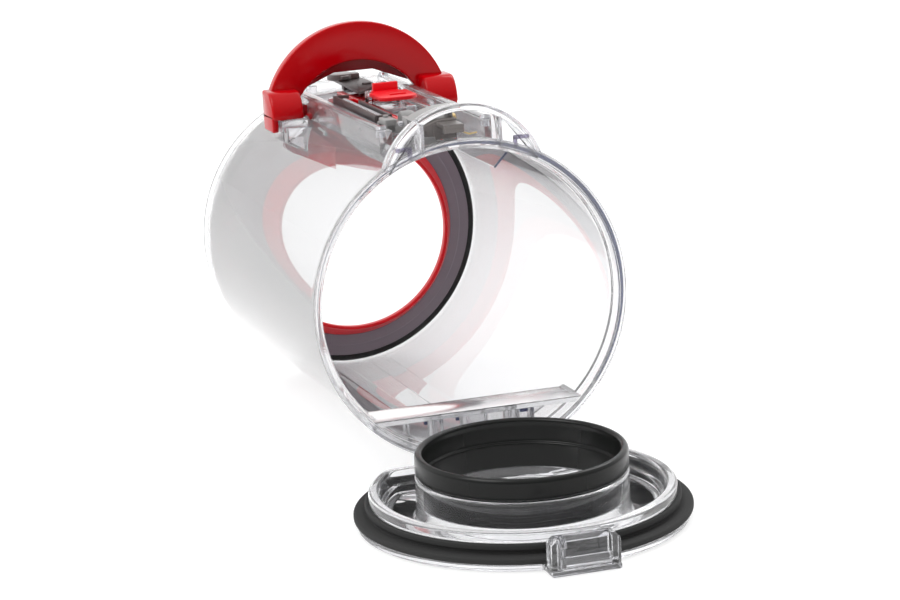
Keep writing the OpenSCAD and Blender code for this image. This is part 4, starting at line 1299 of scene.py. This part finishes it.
@dataclass
class Studio:
    """A pale floor, a soft pale surrounding that is dimmer behind the camera, and two soft lights."""

    floor_tone: float = 0.36
    glow: float = 0.7
    front_light: float = 0.3
    back_light: float = 1.15
    reach: float = 9.0
    camera_at: tuple = (-0.40990, -1.33479, 0.43561)
    yaw: float = 0.2987
    dip: float = 0.2604
    roll: float = -0.0452
    lens: float = 147.55
    bounces: int = 32

    def floor(self) -> None:
        """A wide pale floor, lit a little from below like a light table, whose tone drifts a little."""
        side = np.linspace(-self.reach, self.reach, 9)
        x, y = np.meshgrid(side, side, indexing="ij")
        flat = grid(np.stack([x, y, np.zeros_like(x)], -1) / MM, False, False)
        made = mesh_object("floor", flat, Place((0, 0, 0), (0, 0, -0.0002), 0.0))
        tone, second = (self.floor_tone,) * 3, (self.floor_tone - 0.01,) * 3
        paper = Finish("pale_floor", tone, second, 0.6, 0.05).material()
        set_inputs(paper.node_tree.nodes["Principled BSDF"],
                   (("Emission Color", (1.0, 1.0, 1.0, 1.0)), ("Emission Strength", self.glow)))
        made.data.materials.append(paper)

    def surround(self) -> None:
        """A world whose brightness rises smoothly from the camera's side to the far side and the top."""
        world = bpy.data.worlds.new("soft_surround")
        bpy.context.scene.world = world
        world.use_nodes = True
        tree = world.node_tree
        place, split = tree.nodes.new("ShaderNodeTexCoord"), tree.nodes.new("ShaderNodeSeparateXYZ")
        tree.links.new(place.outputs["Generated"], split.inputs[0])
        lift = math_node(tree, "ADD", math_node(tree, "MULTIPLY", split.outputs["Y"], 0.62),
                         math_node(tree, "MULTIPLY", split.outputs["Z"], 0.75))
        share = held(tree, math_node(tree, "ADD", lift, 0.42))
        rise = math_node(tree, "MULTIPLY", share, self.back_light - self.front_light)
        background = tree.nodes["Background"]
        tree.links.new(math_node(tree, "ADD", rise, self.front_light), background.inputs["Strength"])
        set_inputs(background, (("Color", (1.0, 1.0, 1.0, 1.0)),))

    def lamp(self, name: str, at: tuple, size: float, power: float) -> None:
        """A square soft light that looks at the object.

        Args:
            name: its name.
            at: where it stands, in metres.
            size: its side.
            power: its power in watts.
        """
        data = bpy.data.lights.new(name, "AREA")
        data.energy, data.size = power, size
        lamp = bpy.data.objects.new(name, data)
        lamp.location = at
        lamp.rotation_mode = "QUATERNION"
        lamp.rotation_quaternion = (Vector((0, 0, 0.06)) - Vector(at)).to_track_quat("-Z", "Y")
        bpy.context.scene.collection.objects.link(lamp)

    def camera(self) -> None:
        """The camera: its place in metres, its turn to the right, dip and roll in radians, and its lens."""
        data = bpy.data.cameras.new("view")
        data.sensor_width, data.lens = 36.0, self.lens
        data.clip_start, data.clip_end = 0.05, 60.0
        made = bpy.data.objects.new("view", data)
        made.location = self.camera_at
        turn = (Euler((math.pi / 2 - self.dip, 0.0, -self.yaw)).to_matrix()
                @ Euler((0.0, 0.0, self.roll)).to_matrix())
        made.rotation_mode = "QUATERNION"
        made.rotation_quaternion = turn.to_quaternion()
        bpy.context.scene.collection.objects.link(made)
        bpy.context.scene.camera = made

    def build(self) -> None:
        """Sets up the floor, the surround, the lights, the camera and how light bounces in clear pieces."""
        self.floor()
        self.surround()
        self.lamp("high_left", (-0.9, -0.3, 1.3), 0.9, 9.0)
        self.lamp("high_right", (0.9, 0.5, 1.2), 0.7, 6.0)
        self.camera()
        scene = bpy.context.scene
        scene.view_settings.view_transform = "Standard"
        scene.cycles.max_bounces = self.bounces
        scene.cycles.transmission_bounces = self.bounces
        scene.cycles.glossy_bounces = 12


def main() -> None:
    """Builds the object piece by piece, then the studio."""
    logging.basicConfig(level=logging.INFO, format="%(message)s")
    for part in (BinShell(), LatchHood(), RearCollar(), Runner(), RunnerWorks(), Latch(), ReleaseLever(),
                 ReleaseButton(), Lid()):
        LOG.info("building %s", type(part).__name__)
        part.build()
    dress_frame()
    Studio().build()
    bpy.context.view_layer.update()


if __name__ == "__main__":
    main()
